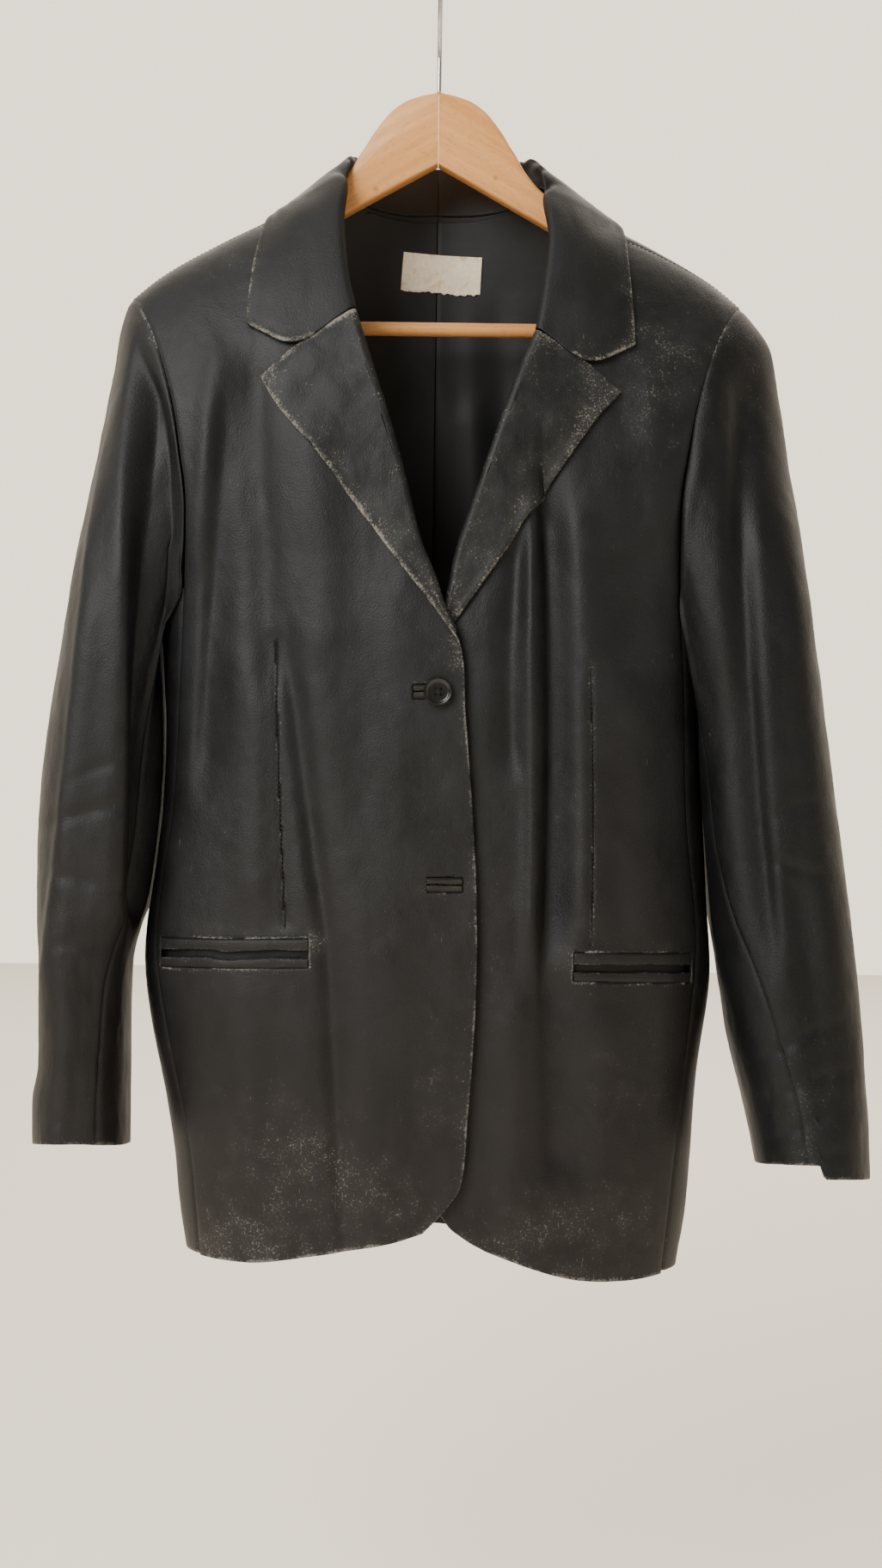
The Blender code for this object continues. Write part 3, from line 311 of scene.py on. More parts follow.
def back_face(side, creased=1.0):
    width = half_width[side]

    def point(x, h):
        x, h = np.broadcast_arrays(np.asarray(x, float), np.asarray(h, float))
        z = z_at(x, h)
        swing = np.where(h > 0, np.cos(h / ARC), 1.0)
        depth = np.where(swing > 0, back_depth(z), front_depth(z))
        y = depth * swing * rounding(x / width(z))
        inside = ease((0.9 * width(z) - np.abs(x)) / 30)
        y = y + fold_height(BACK_FOLDS[side], x, z) * inside * ease(swing * 2) * ease(np.abs(x) / 30)
        y = y + creased * 0.8 * settle(x, z, 30 + side) * inside * ease(swing)
        return np.stack((x, y, z), -1)
    return point


def side_face(side):
    width = half_width[side]

    def point(y, z):
        y, z = np.broadcast_arrays(np.asarray(y, float), np.asarray(z, float))
        depth = np.where(y < 0, front_depth(z), back_depth(z))
        return np.stack((side * width(z) * rounding(y / depth), y, z), -1)
    return point


def normal_at(face, a, b):
    """Unit normal of a front's outer face, by differences."""
    along_a = face(a + STEP, b) - face(a - STEP, b)
    along_b = face(a, b + STEP) - face(a, b - STEP)
    return unit(np.cross(along_a, along_b))


def on_front(side, spots, lift):
    """Points lifted off a front's outer face above places (x, z)."""
    face = front_face(side)
    x, z = spots[..., 0], spots[..., 1]
    h = height_at(x, z)
    return face(x, h) + normal_at(face, x, h) * np.asarray(lift)[..., None]


print("front at the button:", np.round(front_face(-1)(5.4, -95.8), 1))

# %% [markdown]
# The edges of the panels: the front edges that lap, the roll of the lapels, the hem, the side
# seams and the armholes. A cutter would draw them on paper; here they are curves by height.

# %% Edges of the panels
LAP_EDGE = [(-893, 0), (-879, 13), (-861, 25), (-813, 29.4), (-755, 33), (-696, 34), (-624, 31),
            (-539, 24), (-494, 20), (-482, 16)]
UNDER_EDGE = [(-899, 30), (-890, 18), (-872, 6), (-845, -5), (-800, -11), (-700, -13), (-539, -10),
              (-500, -6), (-484, 0)]
ROLL = {
    -1: [(-482, 16), (-465, 8), (-447, 2), (-423, -8), (-388, -17), (-345, -29), (-305, -42),
         (-263, -55.7), (-236, -62), (-200, -66)],
    1: [(-484, 0), (-463, 9.7), (-428, 17), (-388, 30), (-345, 44), (-305, 58), (-276, 69.7),
        (-240, 75), (-204, 79)],
}
HEM = {
    -1: [(-167, -918), (-120, -918), (-95, -914.5), (-25, -901), (0, -893)],
    1: [(30, -899), (46, -907), (97, -924), (135, -928), (180, -926)],
}
CENTRE_HEM_Z = -916.0
SIDE_HEM_Z = {-1: -917.0, 1: -925.0}
SIDE_SEAM = {
    -1: [(-925, 155), (-840, 164), (-763, 180), (-710, 189), (-660, 187), (-612, 180), (-519, 175)],
    1: [(-925, 167), (-763, 183), (-692, 188), (-612, 180), (-519, 177)],
}
ARMHOLE_FRONT = [(-455, 172), (-413, 170.5), (-387, 171), (-360, 175), (-331, 180), (-305, 187),
                 (-281, 195), (-259, 206)]
ARMHOLE_BACK = [(-455, 173), (-400, 176), (-350, 181), (-305, 189), (-275, 199), (-257, 208)]
NECK_BACK = profile([(0, -170), (0.3, -171), (0.55, -170), (0.75, -167.5), (0.87, -161), (0.95, -157.3)])
SHOULDER_SEAM = {-1: profile([(70, 80), (219, 87)]), 1: profile([(70, 69), (219, 86)])}
ROLL_RADIUS = 3.6     # middle of the lapel's wall as it turns over the front's edge


def seam_h(side, x):
    """The h of the shoulder seam on the front."""
    return ARC * np.radians(SHOULDER_SEAM[side](np.abs(x)))


def front_edges(side):
    """Inner and outer edges of a front, as x by h."""
    tuck = side * (ROLL_RADIUS + 0.2)
    edge = LAP_EDGE if side < 0 else UNDER_EDGE
    roll = [(z, x + tuck) for z, x in ROLL[side][1:]]
    inner = [(float(height_at(x, z)), x) for z, x in edge[:-1] + roll]
    neck = side * NECK_X[side]
    inner.append((float(seam_h(side, neck)), neck))
    outer = [(float(height_at(side * x, z)), side * x) for z, x in SIDE_SEAM[side] + ARMHOLE_FRONT]
    outer.append((float(seam_h(side, TIP_X)), side * TIP_X))
    return profile(inner), profile(outer)


def back_edge(side):
    """Outer edge of a back half, as x by h."""
    outer = [(float(height_at(side * x, z)), side * x) for z, x in SIDE_SEAM[side] + ARMHOLE_BACK]
    outer.append((float(ARC * math.pi - seam_h(side, TIP_X)), side * TIP_X))
    return profile(outer)


def neck_h(side, x):
    """The h of a back half's top: the neck seam, and past it the shoulder seam."""
    share = np.abs(x) / NECK_X[side]
    shoulder = ARC * math.pi - seam_h(side, np.maximum(np.abs(x), NECK_X[side]))
    neck = mix(height_at(x, NECK_BACK(share)), shoulder, np.clip(share / 0.05 - 19, 0, 1) ** 3)
    return np.where(share >= 1, shoulder, neck)


def patch(inner, outer, foot, top, foot_x, top_x, cols, rows, even_top=None):
    """A grid of x and h between two edges, with curved foot and top."""
    u, v = np.meshgrid(cols, rows)
    low_x, high_x = mix(foot_x[0], foot_x[1], u), mix(top_x[0], top_x[1], u)
    low, high = foot(low_x), top(high_x)
    smooth = even_top(high_x) if even_top else high
    h = mix(low, smooth, v) + (high - smooth) * v ** 5
    x = mix(inner(h), outer(h), u)
    x = x + (high_x - mix(inner(high), outer(high), u)) * v ** 3
    x = x + (low_x - mix(inner(low), outer(low), u)) * (1 - v) ** 3
    return x, h


print("front edges at the waist:", [round(float(edge(-130)), 1) for edge in front_edges(-1)])

# %% [markdown]
# A cloth piece is a thin closed wall: an outer grid, an inner grid, and a rim between them.
# Beside a seam the outer face dips, which is the valley that sewing makes, and at a free edge
# the leather is turned, so the rim is round. Every corner also carries two marks that the
# leather reads later: how much it is rubbed, and how densely it is scuffed.

# %% Cloth walls and their marks


def edge_ways(grid):
    """Distance of each corner of a grid from its left, right, foot and top edges."""
    across = np.linalg.norm(np.diff(grid, axis=1), axis=2)
    left = np.concatenate((np.zeros((len(grid), 1)), np.cumsum(across, axis=1)), axis=1)
    upward = np.linalg.norm(np.diff(grid, axis=0), axis=2)
    foot = np.concatenate((np.zeros((1, grid.shape[1])), np.cumsum(upward, axis=0)), axis=0)
    return {"left": left, "right": left[:, -1:] - left, "foot": foot, "top": foot[-1:] - foot}


def grid_normals(grid, turn):
    return unit(np.cross(np.gradient(grid, axis=1), np.gradient(grid, axis=0))) * turn


def put(name, mesh):
    """A new object in the scene with this mesh."""
    made = bpy.data.objects.new(name, mesh)
    bpy.context.scene.collection.objects.link(made)
    return made


def turn_faces_out(mesh):
    work = bmesh.new()
    work.from_mesh(mesh)
    bmesh.ops.recalc_face_normals(work, faces=work.faces)
    work.to_mesh(mesh)
    work.free()


def make_mesh(name, corners, faces, marks=None):
    """A named mesh object from millimetre corners, its faces pointing out."""
    mesh = bpy.data.meshes.new(name)
    mesh.from_pydata((np.asarray(corners) * MM).tolist(), [], faces)
    for mark, values in (marks or {}).items():
        mesh.attributes.new(mark, "FLOAT", "POINT").data.foreach_set("value", np.asarray(values, "f"))
    turn_faces_out(mesh)
    mesh.shade_smooth()
    return put(name, mesh)


def wall(name, outer, inner, rubbed=0.0, scuffed=0.0, bead=0.0):
    """A closed wall between two grids; bead rounds the rim out by that share of a millimetre."""
    rows, cols = outer.shape[:2]
    ids = np.arange(rows * cols).reshape(rows, cols)
    i, j = np.divmod(np.concatenate((ids[0, :-1], ids[:-1, -1], ids[-1, :0:-1], ids[:0:-1, 0])), cols)
    rim, inside = ids[i, j], ids[np.clip(i, 1, rows - 2), np.clip(j, 1, cols - 2)]
    flat_outer, flat_inner = outer.reshape(-1, 3), inner.reshape(-1, 3)
    middle = (flat_outer[rim] + flat_inner[rim]) / 2 + unit(flat_outer[rim] - flat_outer[inside]) * bead
    corners = np.concatenate((flat_outer, flat_inner, middle))
    a, b, c, d = (ids[:-1, :-1].ravel(), ids[:-1, 1:].ravel(), ids[1:, 1:].ravel(), ids[1:, :-1].ravel())
    count, turned = rows * cols, np.roll(rim, -1)
    bead_ids = 2 * count + np.arange(len(rim))
    bead_next = np.roll(bead_ids, -1)
    faces = np.concatenate((np.stack((a, b, c, d), 1), np.stack((a, d, c, b), 1) + count,
                            np.stack((rim, bead_ids, bead_next, turned), 1),
                            np.stack((bead_ids, rim + count, turned + count, bead_next), 1)))
    rubbed = np.broadcast_to(rubbed, (rows, cols)).ravel()
    scuffed = np.broadcast_to(scuffed, (rows, cols)).ravel()
    marks = {"rubbed": np.concatenate((rubbed, rubbed * 0, rubbed[rim])),
             "scuffed": np.concatenate((scuffed, scuffed * 0, scuffed[rim]))}
    return make_mesh(name, corners, faces.tolist(), marks)


CLOTH = {}            # name: the cut's width, length and area, for the cloth list at the end
SMALLEST_CUT = 10.0   # no cut is said to be narrower or shorter


def note_cut(made, grid):
    """Keep how large the flat piece was: leather doesn't stretch, so its area is the cut's."""
    sides = edge_ways(grid)
    quads = np.cross(grid[1:, 1:] - grid[:-1, :-1], grid[1:, :-1] - grid[:-1, 1:])
    area = float(np.linalg.norm(quads, axis=2).sum() / 2)
    width, length = float(sides["left"][:, -1].max()), float(sides["foot"][-1].max())
    width, length = max(width, SMALLEST_CUT), max(length, SMALLEST_CUT)
    CLOTH[made.name] = (width * MM, length * MM, min(area, width * length) * MM * MM)
    return made


def sheet_on(name, grid, turn, lift, thick, rubbed=0.0, scuffed=0.0, dips=(), bead=0.0):
    """A wall of cloth on a grid of points; dips lists its sewn sides as (side, depth)."""
    normals = grid_normals(grid, turn)
    ways = edge_ways(grid)
    sunk = sum((depth * near(ways[side], 1.7) for side, depth in dips), np.zeros(grid.shape[:2]))
    outer = grid + normals * (lift - sunk)[..., None]
    inner = grid + normals * (lift - thick)
    return note_cut(wall(name, outer, inner, rubbed, scuffed, bead), grid)


# %% [markdown]
# The two fronts. The marks on them come from what a coat rubs against: its front edge, its hem,
# the shoulder and the mouths of the pockets. The pocket mouths and the buttonholes are cut
# right through with Boolean cutters, after the wall is made, because a true slot shows the dark
# inside that a painted one can't.

# %% Fronts
GRID_STEP = 2.1
POCKET = {-1: (-80.0, -694.0, -0.03), 1: (100.0, -701.0, -0.02)}   # inner end, top, fall per mm
POCKET_WELTS = (7.5, 6.5, 6.0)        # upper welt, gap and lower welt
BUTTONHOLES = {"upper": (0.7, -525.8), "lower": (11.5, -656.0)}
BUTTONHOLE_SIZE = (24.4, 10.5)
SLOT_DEPTHS = (-140.0, -20.0)         # a cutter reaches from before the fronts to behind them
DART_SLIT = 0.24                      # half the width of a dart's sewn line
LAPEL_FOOT_Z = -470.0                 # below the lapel the inner edge is free


def pocket_box(side):
    """Both ends, both heights and the fall of a pocket's mouth."""
    x_in, z_top, fall = POCKET[side]
    x_out = float(front_edges(side)[1](z_top - CHEST_Z)) - side * 5.0
    return x_in, x_out, z_top - sum(POCKET_WELTS), z_top, fall


def buttonhole_box(place):
    """Both ends and both heights of a buttonhole round its middle."""
    (x, z), (long, tall) = place, BUTTONHOLE_SIZE
    return x + long / 2, x - long / 2, z - tall / 2, z + tall / 2


def slot_distance(x, z, x_a, x_b, low, high, fall):
    """Distance of places from the rim of a slot that falls along x."""
    z = z - fall * np.abs(x - x_a)
    centre, half = (x_a + x_b) / 2, abs(x_b - x_a) / 2
    dx, dz = np.abs(x - centre) - half, np.abs(z - (low + high) / 2) - (high - low) / 2
    outside = np.hypot(np.maximum(dx, 0), np.maximum(dz, 0))
    return np.abs(outside + np.minimum(np.maximum(dx, dz), 0))


def blob(x, z, cx, cz, rx, rz):
    return np.exp(-((x - cx) / rx) ** 2 - ((z - cz) / rz) ** 2)


FRONT_SCUFFS = {     # where the fronts are scuffed: centre, reach and strength
    -1: [(-90, -845, 60, 45, 0.8), (-130, -900, 45, 22, 0.75), (-30, -868, 40, 26, 0.55),
         (-120, -690, 45, 10, 0.5), (-75, -696, 8, 15, 0.8), (12, -790, 18, 70, 0.5),
         (10, -660, 16, 22, 0.5), (-20, -530, 30, 20, 0.3), (-150, -230, 30, 20, 0.5),
         (-140, -620, 25, 60, 0.3), (15, -500, 14, 14, 0.8), (-95, -330, 30, 30, 0.2)],
    1: [(150, -320, 28, 38, 0.7), (160, -280, 40, 22, 0.6), (120, -245, 40, 14, 0.35),
        (120, -885, 60, 30, 0.8), (60, -895, 30, 16, 0.45), (160, -700, 40, 10, 0.45),
        (96, -703, 8, 16, 0.8), (45, -720, 20, 60, 0.35), (150, -460, 20, 60, 0.25),
        (100, -600, 12, 70, 0.35), (135, -790, 40, 40, 0.4)],
}


def make_front(side, name):
    inner, outer = front_edges(side)
    hem = profile(HEM[side])
    corner_h = (LAP_EDGE if side < 0 else UNDER_EDGE)[0][0] - CHEST_Z
    inset = side * SEAM
    foot_x = (float(inner(corner_h)) + inset, float(outer(SIDE_HEM_Z[side] - CHEST_Z)) - inset)
    top_x = (side * NECK_X[side] + inset, side * TIP_X - inset)
    x, h = patch(lambda h: inner(h) + inset, lambda h: outer(h) - inset,
                 lambda x: hem(x) - CHEST_Z, lambda x: seam_h(side, x) - TOP_SEAM,
                 foot_x, top_x, stations(180, GRID_STEP * 0.85), stations(700, GRID_STEP * 1.2))
    grid = front_face(side)(x, h)
    z = grid[..., 2]
    ways = edge_ways(grid)
    mouth = slot_distance(x, z, *pocket_box(side))
    edge = ways["left"]
    open_edge = ease((LAPEL_FOOT_Z - z) / 12)
    # Each mark is a strength times how near a place lies to what rubs or scuffs it.
    rubbed = np.maximum.reduce([
        0.85 * near(ways["foot"], 2.6), 0.7 * near(edge, 1.8) * open_edge, 0.75 * near(ways["top"] - 4, 5.0),
        0.85 * near(mouth, 1.9), 0.6 * near(ways["right"], 2.6) * ease((z + 262) / 12),
        0.5 * near(x - dart_line[side](z), 2.2) * along_dart(side, z)])
    if side < 0:
        for place in BUTTONHOLES.values():
            rubbed = np.maximum(rubbed, 0.5 * near(slot_distance(x, z, *buttonhole_box(place), 0.0), 1.4))
    scuffed = sum((k * blob(x, z, cx, cz, rx, rz) for cx, cz, rx, rz, k in FRONT_SCUFFS[side]),
                  0.5 * near(ways["foot"], 12) + 0.35 * near(edge, 9) * open_edge
                  + 0.4 * near(ways["top"], 9))
    return sheet_on(name, grid, side, 0.0, WALL, rubbed, scuffed, [("right", 0.7), ("top", 0.6)], 0.35)


def bake(thing):
    """Turn an object's modifiers into plain mesh."""
    ready = thing.evaluated_get(bpy.context.evaluated_depsgraph_get())
    mesh = bpy.data.meshes.new_from_object(ready)
    mesh.name = thing.name
    thing.modifiers.clear()
    thing.data = mesh


def cut_with(cutter, thing):
    """Cut the cutter's shape out of a thing and throw the cutter away."""
    cut = thing.modifiers.new("cut", "BOOLEAN")
    cut.object, cut.solver = cutter, "EXACT"
    bake(thing)
    bpy.data.objects.remove(cutter)


def cut_slot(cloth, outline):
    """Cut a slot with this outline of (x, z) right through a front."""
    count = len(outline)
    corners = [Vector((x, y, z)) * MM for y in SLOT_DEPTHS for x, z in outline]
    sides = [(k, (k + 1) % count, (k + 1) % count + count, k + count) for k in range(count)]
    mesh = bpy.data.meshes.new("slot")
    mesh.from_pydata(corners, [], sides + [tuple(range(count)), tuple(range(count, 2 * count))])
    turn_faces_out(mesh)
    cut_with(put("slot", mesh), cloth)


PIECES = {}
for side, wearer in SIDES:
    front = make_front(side, "front_%s_leather" % wearer)
    x_in, x_out, low, high, fall = pocket_box(side)
    drop = fall * abs(x_out - x_in)
    cut_slot(front, [(x_in, low), (x_out, low + drop), (x_out, high + drop), (x_in, high)])
    if side < 0:
        for place in BUTTONHOLES.values():
            x_a, x_b, low, high = buttonhole_box(place)
            cut_slot(front, [(x_a, low), (x_b, low), (x_b, high), (x_a, high)])
    z, share = dart_heights(side, 40)[::-1], steps(39)
    x, half = dart_line[side](z), DART_SLIT * ease(share * 6) * ease((1 - share) * 3) + 0.05
    cut_slot(front, [*zip(x - half, z), *zip((x + half)[::-1], z[::-1])])
    PIECES[front.name] = (front, ["front_" + wearer])
    print(front.name, len(front.data.polygons), "faces")

# %% [markdown]
# The back is cut in two halves with a seam down its middle, and a narrow panel under each arm
# joins it to the fronts. Nothing of the back shows in the photograph beyond a strip at the
# shoulders, so it hangs in folds of the same kind as the front's.

# %% Back and side panels


def make_back(side, name):
    outer = back_edge(side)
    inset = side * SEAM
    hem_h, side_h = CENTRE_HEM_Z - CHEST_Z, SIDE_HEM_Z[side] - CHEST_Z
    foot_x = (inset, float(outer(side_h)) - inset)
    top_x = (inset, side * TIP_X - inset)
    neck = NECK_X[side] / TIP_X
    cols = np.concatenate((steps(28)[:-1] * neck * 0.87, mix(0.87, 1.0, steps(10)[:-1]) * neck,
                           mix(neck, 1, stations(150, GRID_STEP * 1.5)[4:])))
    cols = np.unique(np.concatenate(([0, 0.002, 0.005, 0.009], cols)))
    x, h = patch(lambda h: h * 0 + inset, lambda h: outer(h) - inset,
                 lambda x: mix(hem_h, side_h, x / foot_x[1]), lambda x: neck_h(side, x) - TOP_SEAM,
                 foot_x, top_x, cols, stations(760, GRID_STEP * 2),
                 lambda x: ARC * np.radians(mix(60, 94, np.abs(x) / TIP_X)))
    grid = back_face(side)(x, h)
    ways = edge_ways(grid)
    rubbed = np.maximum.reduce([0.8 * near(ways["foot"], 2.4), 0.6 * near(ways["top"] - 3, 4.0),
                                0.2 * near(ways["left"], 1.5)])
    z = grid[..., 2]
    scuffed = (0.4 * near(ways["foot"], 14) + 0.45 * near(ways["top"], 14)
               + 0.5 * blob(x, z, side * 120, -850, 60, 40)
               + 0.45 * blob(x, z, side * 120, -300, 60, 60) + 0.35 * blob(x, z, side * 40, -640, 50, 90))
    return sheet_on(name, grid, -side, 0.0, WALL, rubbed, scuffed,
                    [("left", 0.8), ("right", 0.7), ("top", 0.5)], 0.3)


def seam_y(side, z, edge, depth):
    """Depth at which a panel's outer edge meets the side panel."""
    return depth(z) * rounding((np.abs(edge(z - CHEST_Z)) + SEAM) / half_width[side](z))


def make_side(side, name):
    front, back = front_edges(side)[1], back_edge(side)
    u, v = np.meshgrid(stations(90, GRID_STEP), stations(460, GRID_STEP * 2))
    z = mix(SIDE_HEM_Z[side], CHEST_Z + ARMPIT_H, v)
    low, high = -seam_y(side, z, front, front_depth), seam_y(side, z, back, back_depth)
    grid = side_face(side)(mix(low, high, u), z)
    grid[..., 0] += side * 0.5 * settle(grid[..., 1], z, 50 + side) * (16 * u * u * (1 - u) * (1 - u))
    ways = edge_ways(grid)
    rubbed = 0.8 * near(ways["foot"], 2.4)
    scuffed = 0.4 * near(ways["foot"], 14) + 0.2
    return sheet_on(name, grid, side, 0.0, WALL, rubbed, scuffed, [("left", 0.7), ("right", 0.7)], 0.3)


for side, wearer in SIDES:
    for maker, part in ((make_back, "back_"), (make_side, "side_")):
        made = maker(side, part + wearer + "_leather")
        PIECES[made.name] = (made, [part + wearer])
        print(made.name, len(made.data.polygons), "faces")

# %% [markdown]
# A tailored sleeve is two pieces: a wide upper one and a narrow under one, sewn into the
# armhole at the top. Its surface is a tube that starts as the armhole's own ring and becomes
# the section of an arm. The folds that the photograph shows are placed on its front half.

# %% Sleeves
SLEEVE_OUTER = {
    -1: profile([(-845, 272.5), (-808, 273), (-786, 269.5), (-751, 269.5), (-715, 271.5), (-680, 273.8),
                 (-610, 274.6), (-563, 270.8), (-492, 260.6), (-400, 247.3), (-319, 233), (-285, 227),
                 (-247, 219)]),
    1: profile([(-864, 310), (-833, 309.5), (-808, 309), (-777, 306.5), (-735, 302), (-701, 298), (-650, 292),
                (-612, 286.5), (-574, 282), (-516, 275), (-485, 270), (-443, 265), (-394, 259.5),
                (-362, 254.5), (-313, 247), (-276, 239), (-247, 220)]),
}
SLEEVE_INNER = {
    -1: profile([(-845, 208), (-812, 208.5), (-767, 209.4), (-718, 209.5), (-690, 203), (-665, 191),
                 (-560, 182), (-455, 178), (-300, 176)]),
    1: profile([(-864, 235), (-833, 229.4), (-808, 224), (-784, 218), (-760, 212.2), (-735, 208.3),
                (-710, 204), (-676, 197), (-560, 184), (-455, 178), (-300, 176)]),
}
sleeve_depth = profile([(-864, 56), (-760, 60), (-650, 67), (-550, 73), (-450, 74), (-350, 66), (-250, 50)])
sleeve_swing = profile([(-864, -30), (-760, -22), (-650, -12), (-550, -5), (-450, -3), (-250, 0)])
CUFF_Z = {-1: -843.0, 1: -854.5}
CUFF_SLANT = 8.0      # the cuff is this much shorter in front
SLEEVE_CLEAR = 2.2    # the sleeve hangs this far from the body
ARMHOLE_GAP = 0.5     # from a panel's armhole edge out to the sleeve's first ring
SLEEVE_SQUARE = 2.3
SLEEVE_SEAMS = (148.0, 250.0)
SEAM_AT_CUFF = {-1: 122.0, 1: 103.0}    # the front seam turns forward on its way down
SLEEVE_FRONT_FOLDS = {
    -1: [([(-212, -290), (-210, -350), (-208, -417), (-206, -500), (-205, -600), (-208, -760)],
          None, 7, -16.0),
         ([(-216, -290), (-213, -365), (-211, -430), (-209, -520), (-209, -610), (-212, -750)], 12, 4, 3.6),
         ([(-226, -280), (-229, -365), (-236, -450), (-244, -560), (-254, -660), (-266, -760)], 5, 12, 3.2),
         ([(-228, -720), (-233, -780), (-236, -850)], 9, 12, -3.0)],
    1: [([(222, -300), (215, -400), (215, -489), (223, -600), (233, -690)], 12, 7, -7.5),
        ([(238, -330), (246, -430), (254, -510), (264, -590), (279, -720)], 12, 18, 4.5),
        ([(250, -650), (262, -720), (274, -810)], 9, 12, -4.0),
        ([(286, -560), (292, -660), (300, -780)], 9, 9, 2.4)],
}
SLEEVE_BACK_FOLDS = {
    side: [([(side * 222, -380), (side * 226, -520), (side * 238, -680)], 12, 14, -4.5),
           ([(side * 246, -400), (side * 258, -640)], 14, 14, 3.0)] for side in (-1, 1)
}
VENT_DEGREES = (93.0, 300.0)            # where the left cuff's vent begins in front and ends behind
VENT_DROP = 4.7                         # its upper edge hangs this much lower, the lower one higher
SHOVE_SOFTNESS = 5.0                    # how gently the body pushes a sleeve aside
SLEEVE_CREASES = {    # short creases across the sleeve: middle, half length, slope, breadth, rise
    -1: [(-232, -610, 30, 0.25, 5, -1.6), (-240, -655, 34, -0.2, 5, -1.4), (-225, -580, 22, 0.4, 4, -1.1),
         (-250, -820, 22, 0.2, 4, -0.9), (-244, -700, 24, 0.1, 4, -0.9)],
    1: [(256, -756, 24, 0.5, 4.5, -1.6), (262, -786, 26, 0.35, 4.5, -1.5), (258, -815, 22, 0.5, 4, -1.4),
        (246, -640, 26, -0.25, 5, -1.4), (252, -600, 24, 0.3, 5, -1.1), (268, -836, 20, 0.2, 4, -1.0)],
}


def armhole(side):
    """The sleeve's first ring: down the front to the armpit, and up the back."""
    front, back = front_edges(side)[1], back_edge(side)
    top, low_z = float(seam_h(side, TIP_X)), CHEST_Z + ARMPIT_H
    drop = mix(top, ARMPIT_H, steps(14))
    down = front_face(side)(front(drop), drop)
    y_front = -float(seam_y(side, low_z, front, front_depth))
    y_back = float(seam_y(side, low_z, back, back_depth))
    under = side_face(side)(mix(y_front, y_back, steps(6)), low_z)
    climb = mix(ARMPIT_H, ARC * math.pi - top, steps(14))
    up = back_face(side)(back(climb), climb)
    shift = np.array((side * ARMHOLE_GAP, 0, 0))
    in_front, behind = np.concatenate((down, under[1:4])), np.concatenate((under[3:], up[1:]))
    return path(in_front + shift), path(behind + shift)


def sleeve_face(side):
    """Outer face of a sleeve by degrees round it, from the outer side over the front, and length."""
    outer, inner, width = SLEEVE_OUTER[side], SLEEVE_INNER[side], half_width[side]
    front_half, back_half = armhole(side)

    def section(angle, z):
        turn = np.radians(angle)
        c, s = np.cos(turn), np.sin(turn)
        middle, half = (outer(z) + inner(z)) / 2, (outer(z) - inner(z)) / 2
        x = middle + half * np.sign(c) * np.abs(c) ** (2 / SLEEVE_SQUARE)
        y = sleeve_swing(z) - sleeve_depth(z) * np.sign(s) * np.abs(s) ** (2 / SLEEVE_SQUARE)
        return np.stack((side * x, y, z), -1)

    def point(angle, share):
        around = np.mod(angle, 360.0)
        first = np.where((around <= 180)[..., None], front_half(np.clip(around / 180, 0, 1)),
                         back_half(np.clip((around - 180) / 180, 0, 1)))
        turn = np.radians(angle)
        cuff = CUFF_Z[side] + CUFF_SLANT * np.sin(turn)
        if side > 0:
            behind = np.mod(angle + 180, 360) + 180 - VENT_DEGREES[1]
            vent = np.where(np.sin(turn) > 0, VENT_DEGREES[0] - angle, behind)
            cuff = cuff + VENT_DROP - 2 * VENT_DROP * ease(vent / 3)
        z = mix(first[..., 2], cuff, share)
        held = ease(1 - share / 0.34)[..., None]
        place = section(angle, z) + (first - section(angle, first[..., 2])) * held
        away = np.stack((side * np.cos(turn), -np.sin(turn), turn * 0), -1)
        head = 1.6 * near(share - 0.035, 0.028) * ease(share / 0.012)
        facing = ease(np.clip(np.sin(turn), 0, 1) * 1.4)
        push = fold_height(SLEEVE_FRONT_FOLDS[side], place[..., 0], z) * facing
        back_push = fold_height(SLEEVE_BACK_FOLDS[side], place[..., 0], z) * ease(-np.sin(turn) * 1.4)
        for cx, cz, half, slope, breadth, rise in SLEEVE_CREASES[side]:
            dx = (place[..., 0] - cx) / half
            dz = (z - cz - slope * (place[..., 0] - cx) + 0.12 * half * dx * dx) / breadth
            push = push + rise * np.exp(-dz * dz - dx * dx) * facing
            behind = np.exp(-((z - cz + 14) / breadth) ** 2 - dx * dx) * ease(-np.sin(turn) * 2)
            back_push = back_push + rise * behind
        push = push + back_push + 0.55 * settle(angle * 1.1, z, 70 + side) * ease(share / 0.06)
        place = place + away * (push * ease(share / 0.07) + head)[..., None]
        depth = np.where(place[..., 1] < 0, front_depth(z), back_depth(z))
        body = width(z) * rounding(place[..., 1] / depth)
        lack, soft = body + SLEEVE_CLEAR - side * place[..., 0], SHOVE_SOFTNESS
        shove = np.where(np.abs(lack) > soft, np.maximum(lack, 0), (lack + soft) ** 2 / (4 * soft))
        place[..., 0] += side * shove * ease((CHEST_Z + 10 - z) / 20)
        return place
    return point


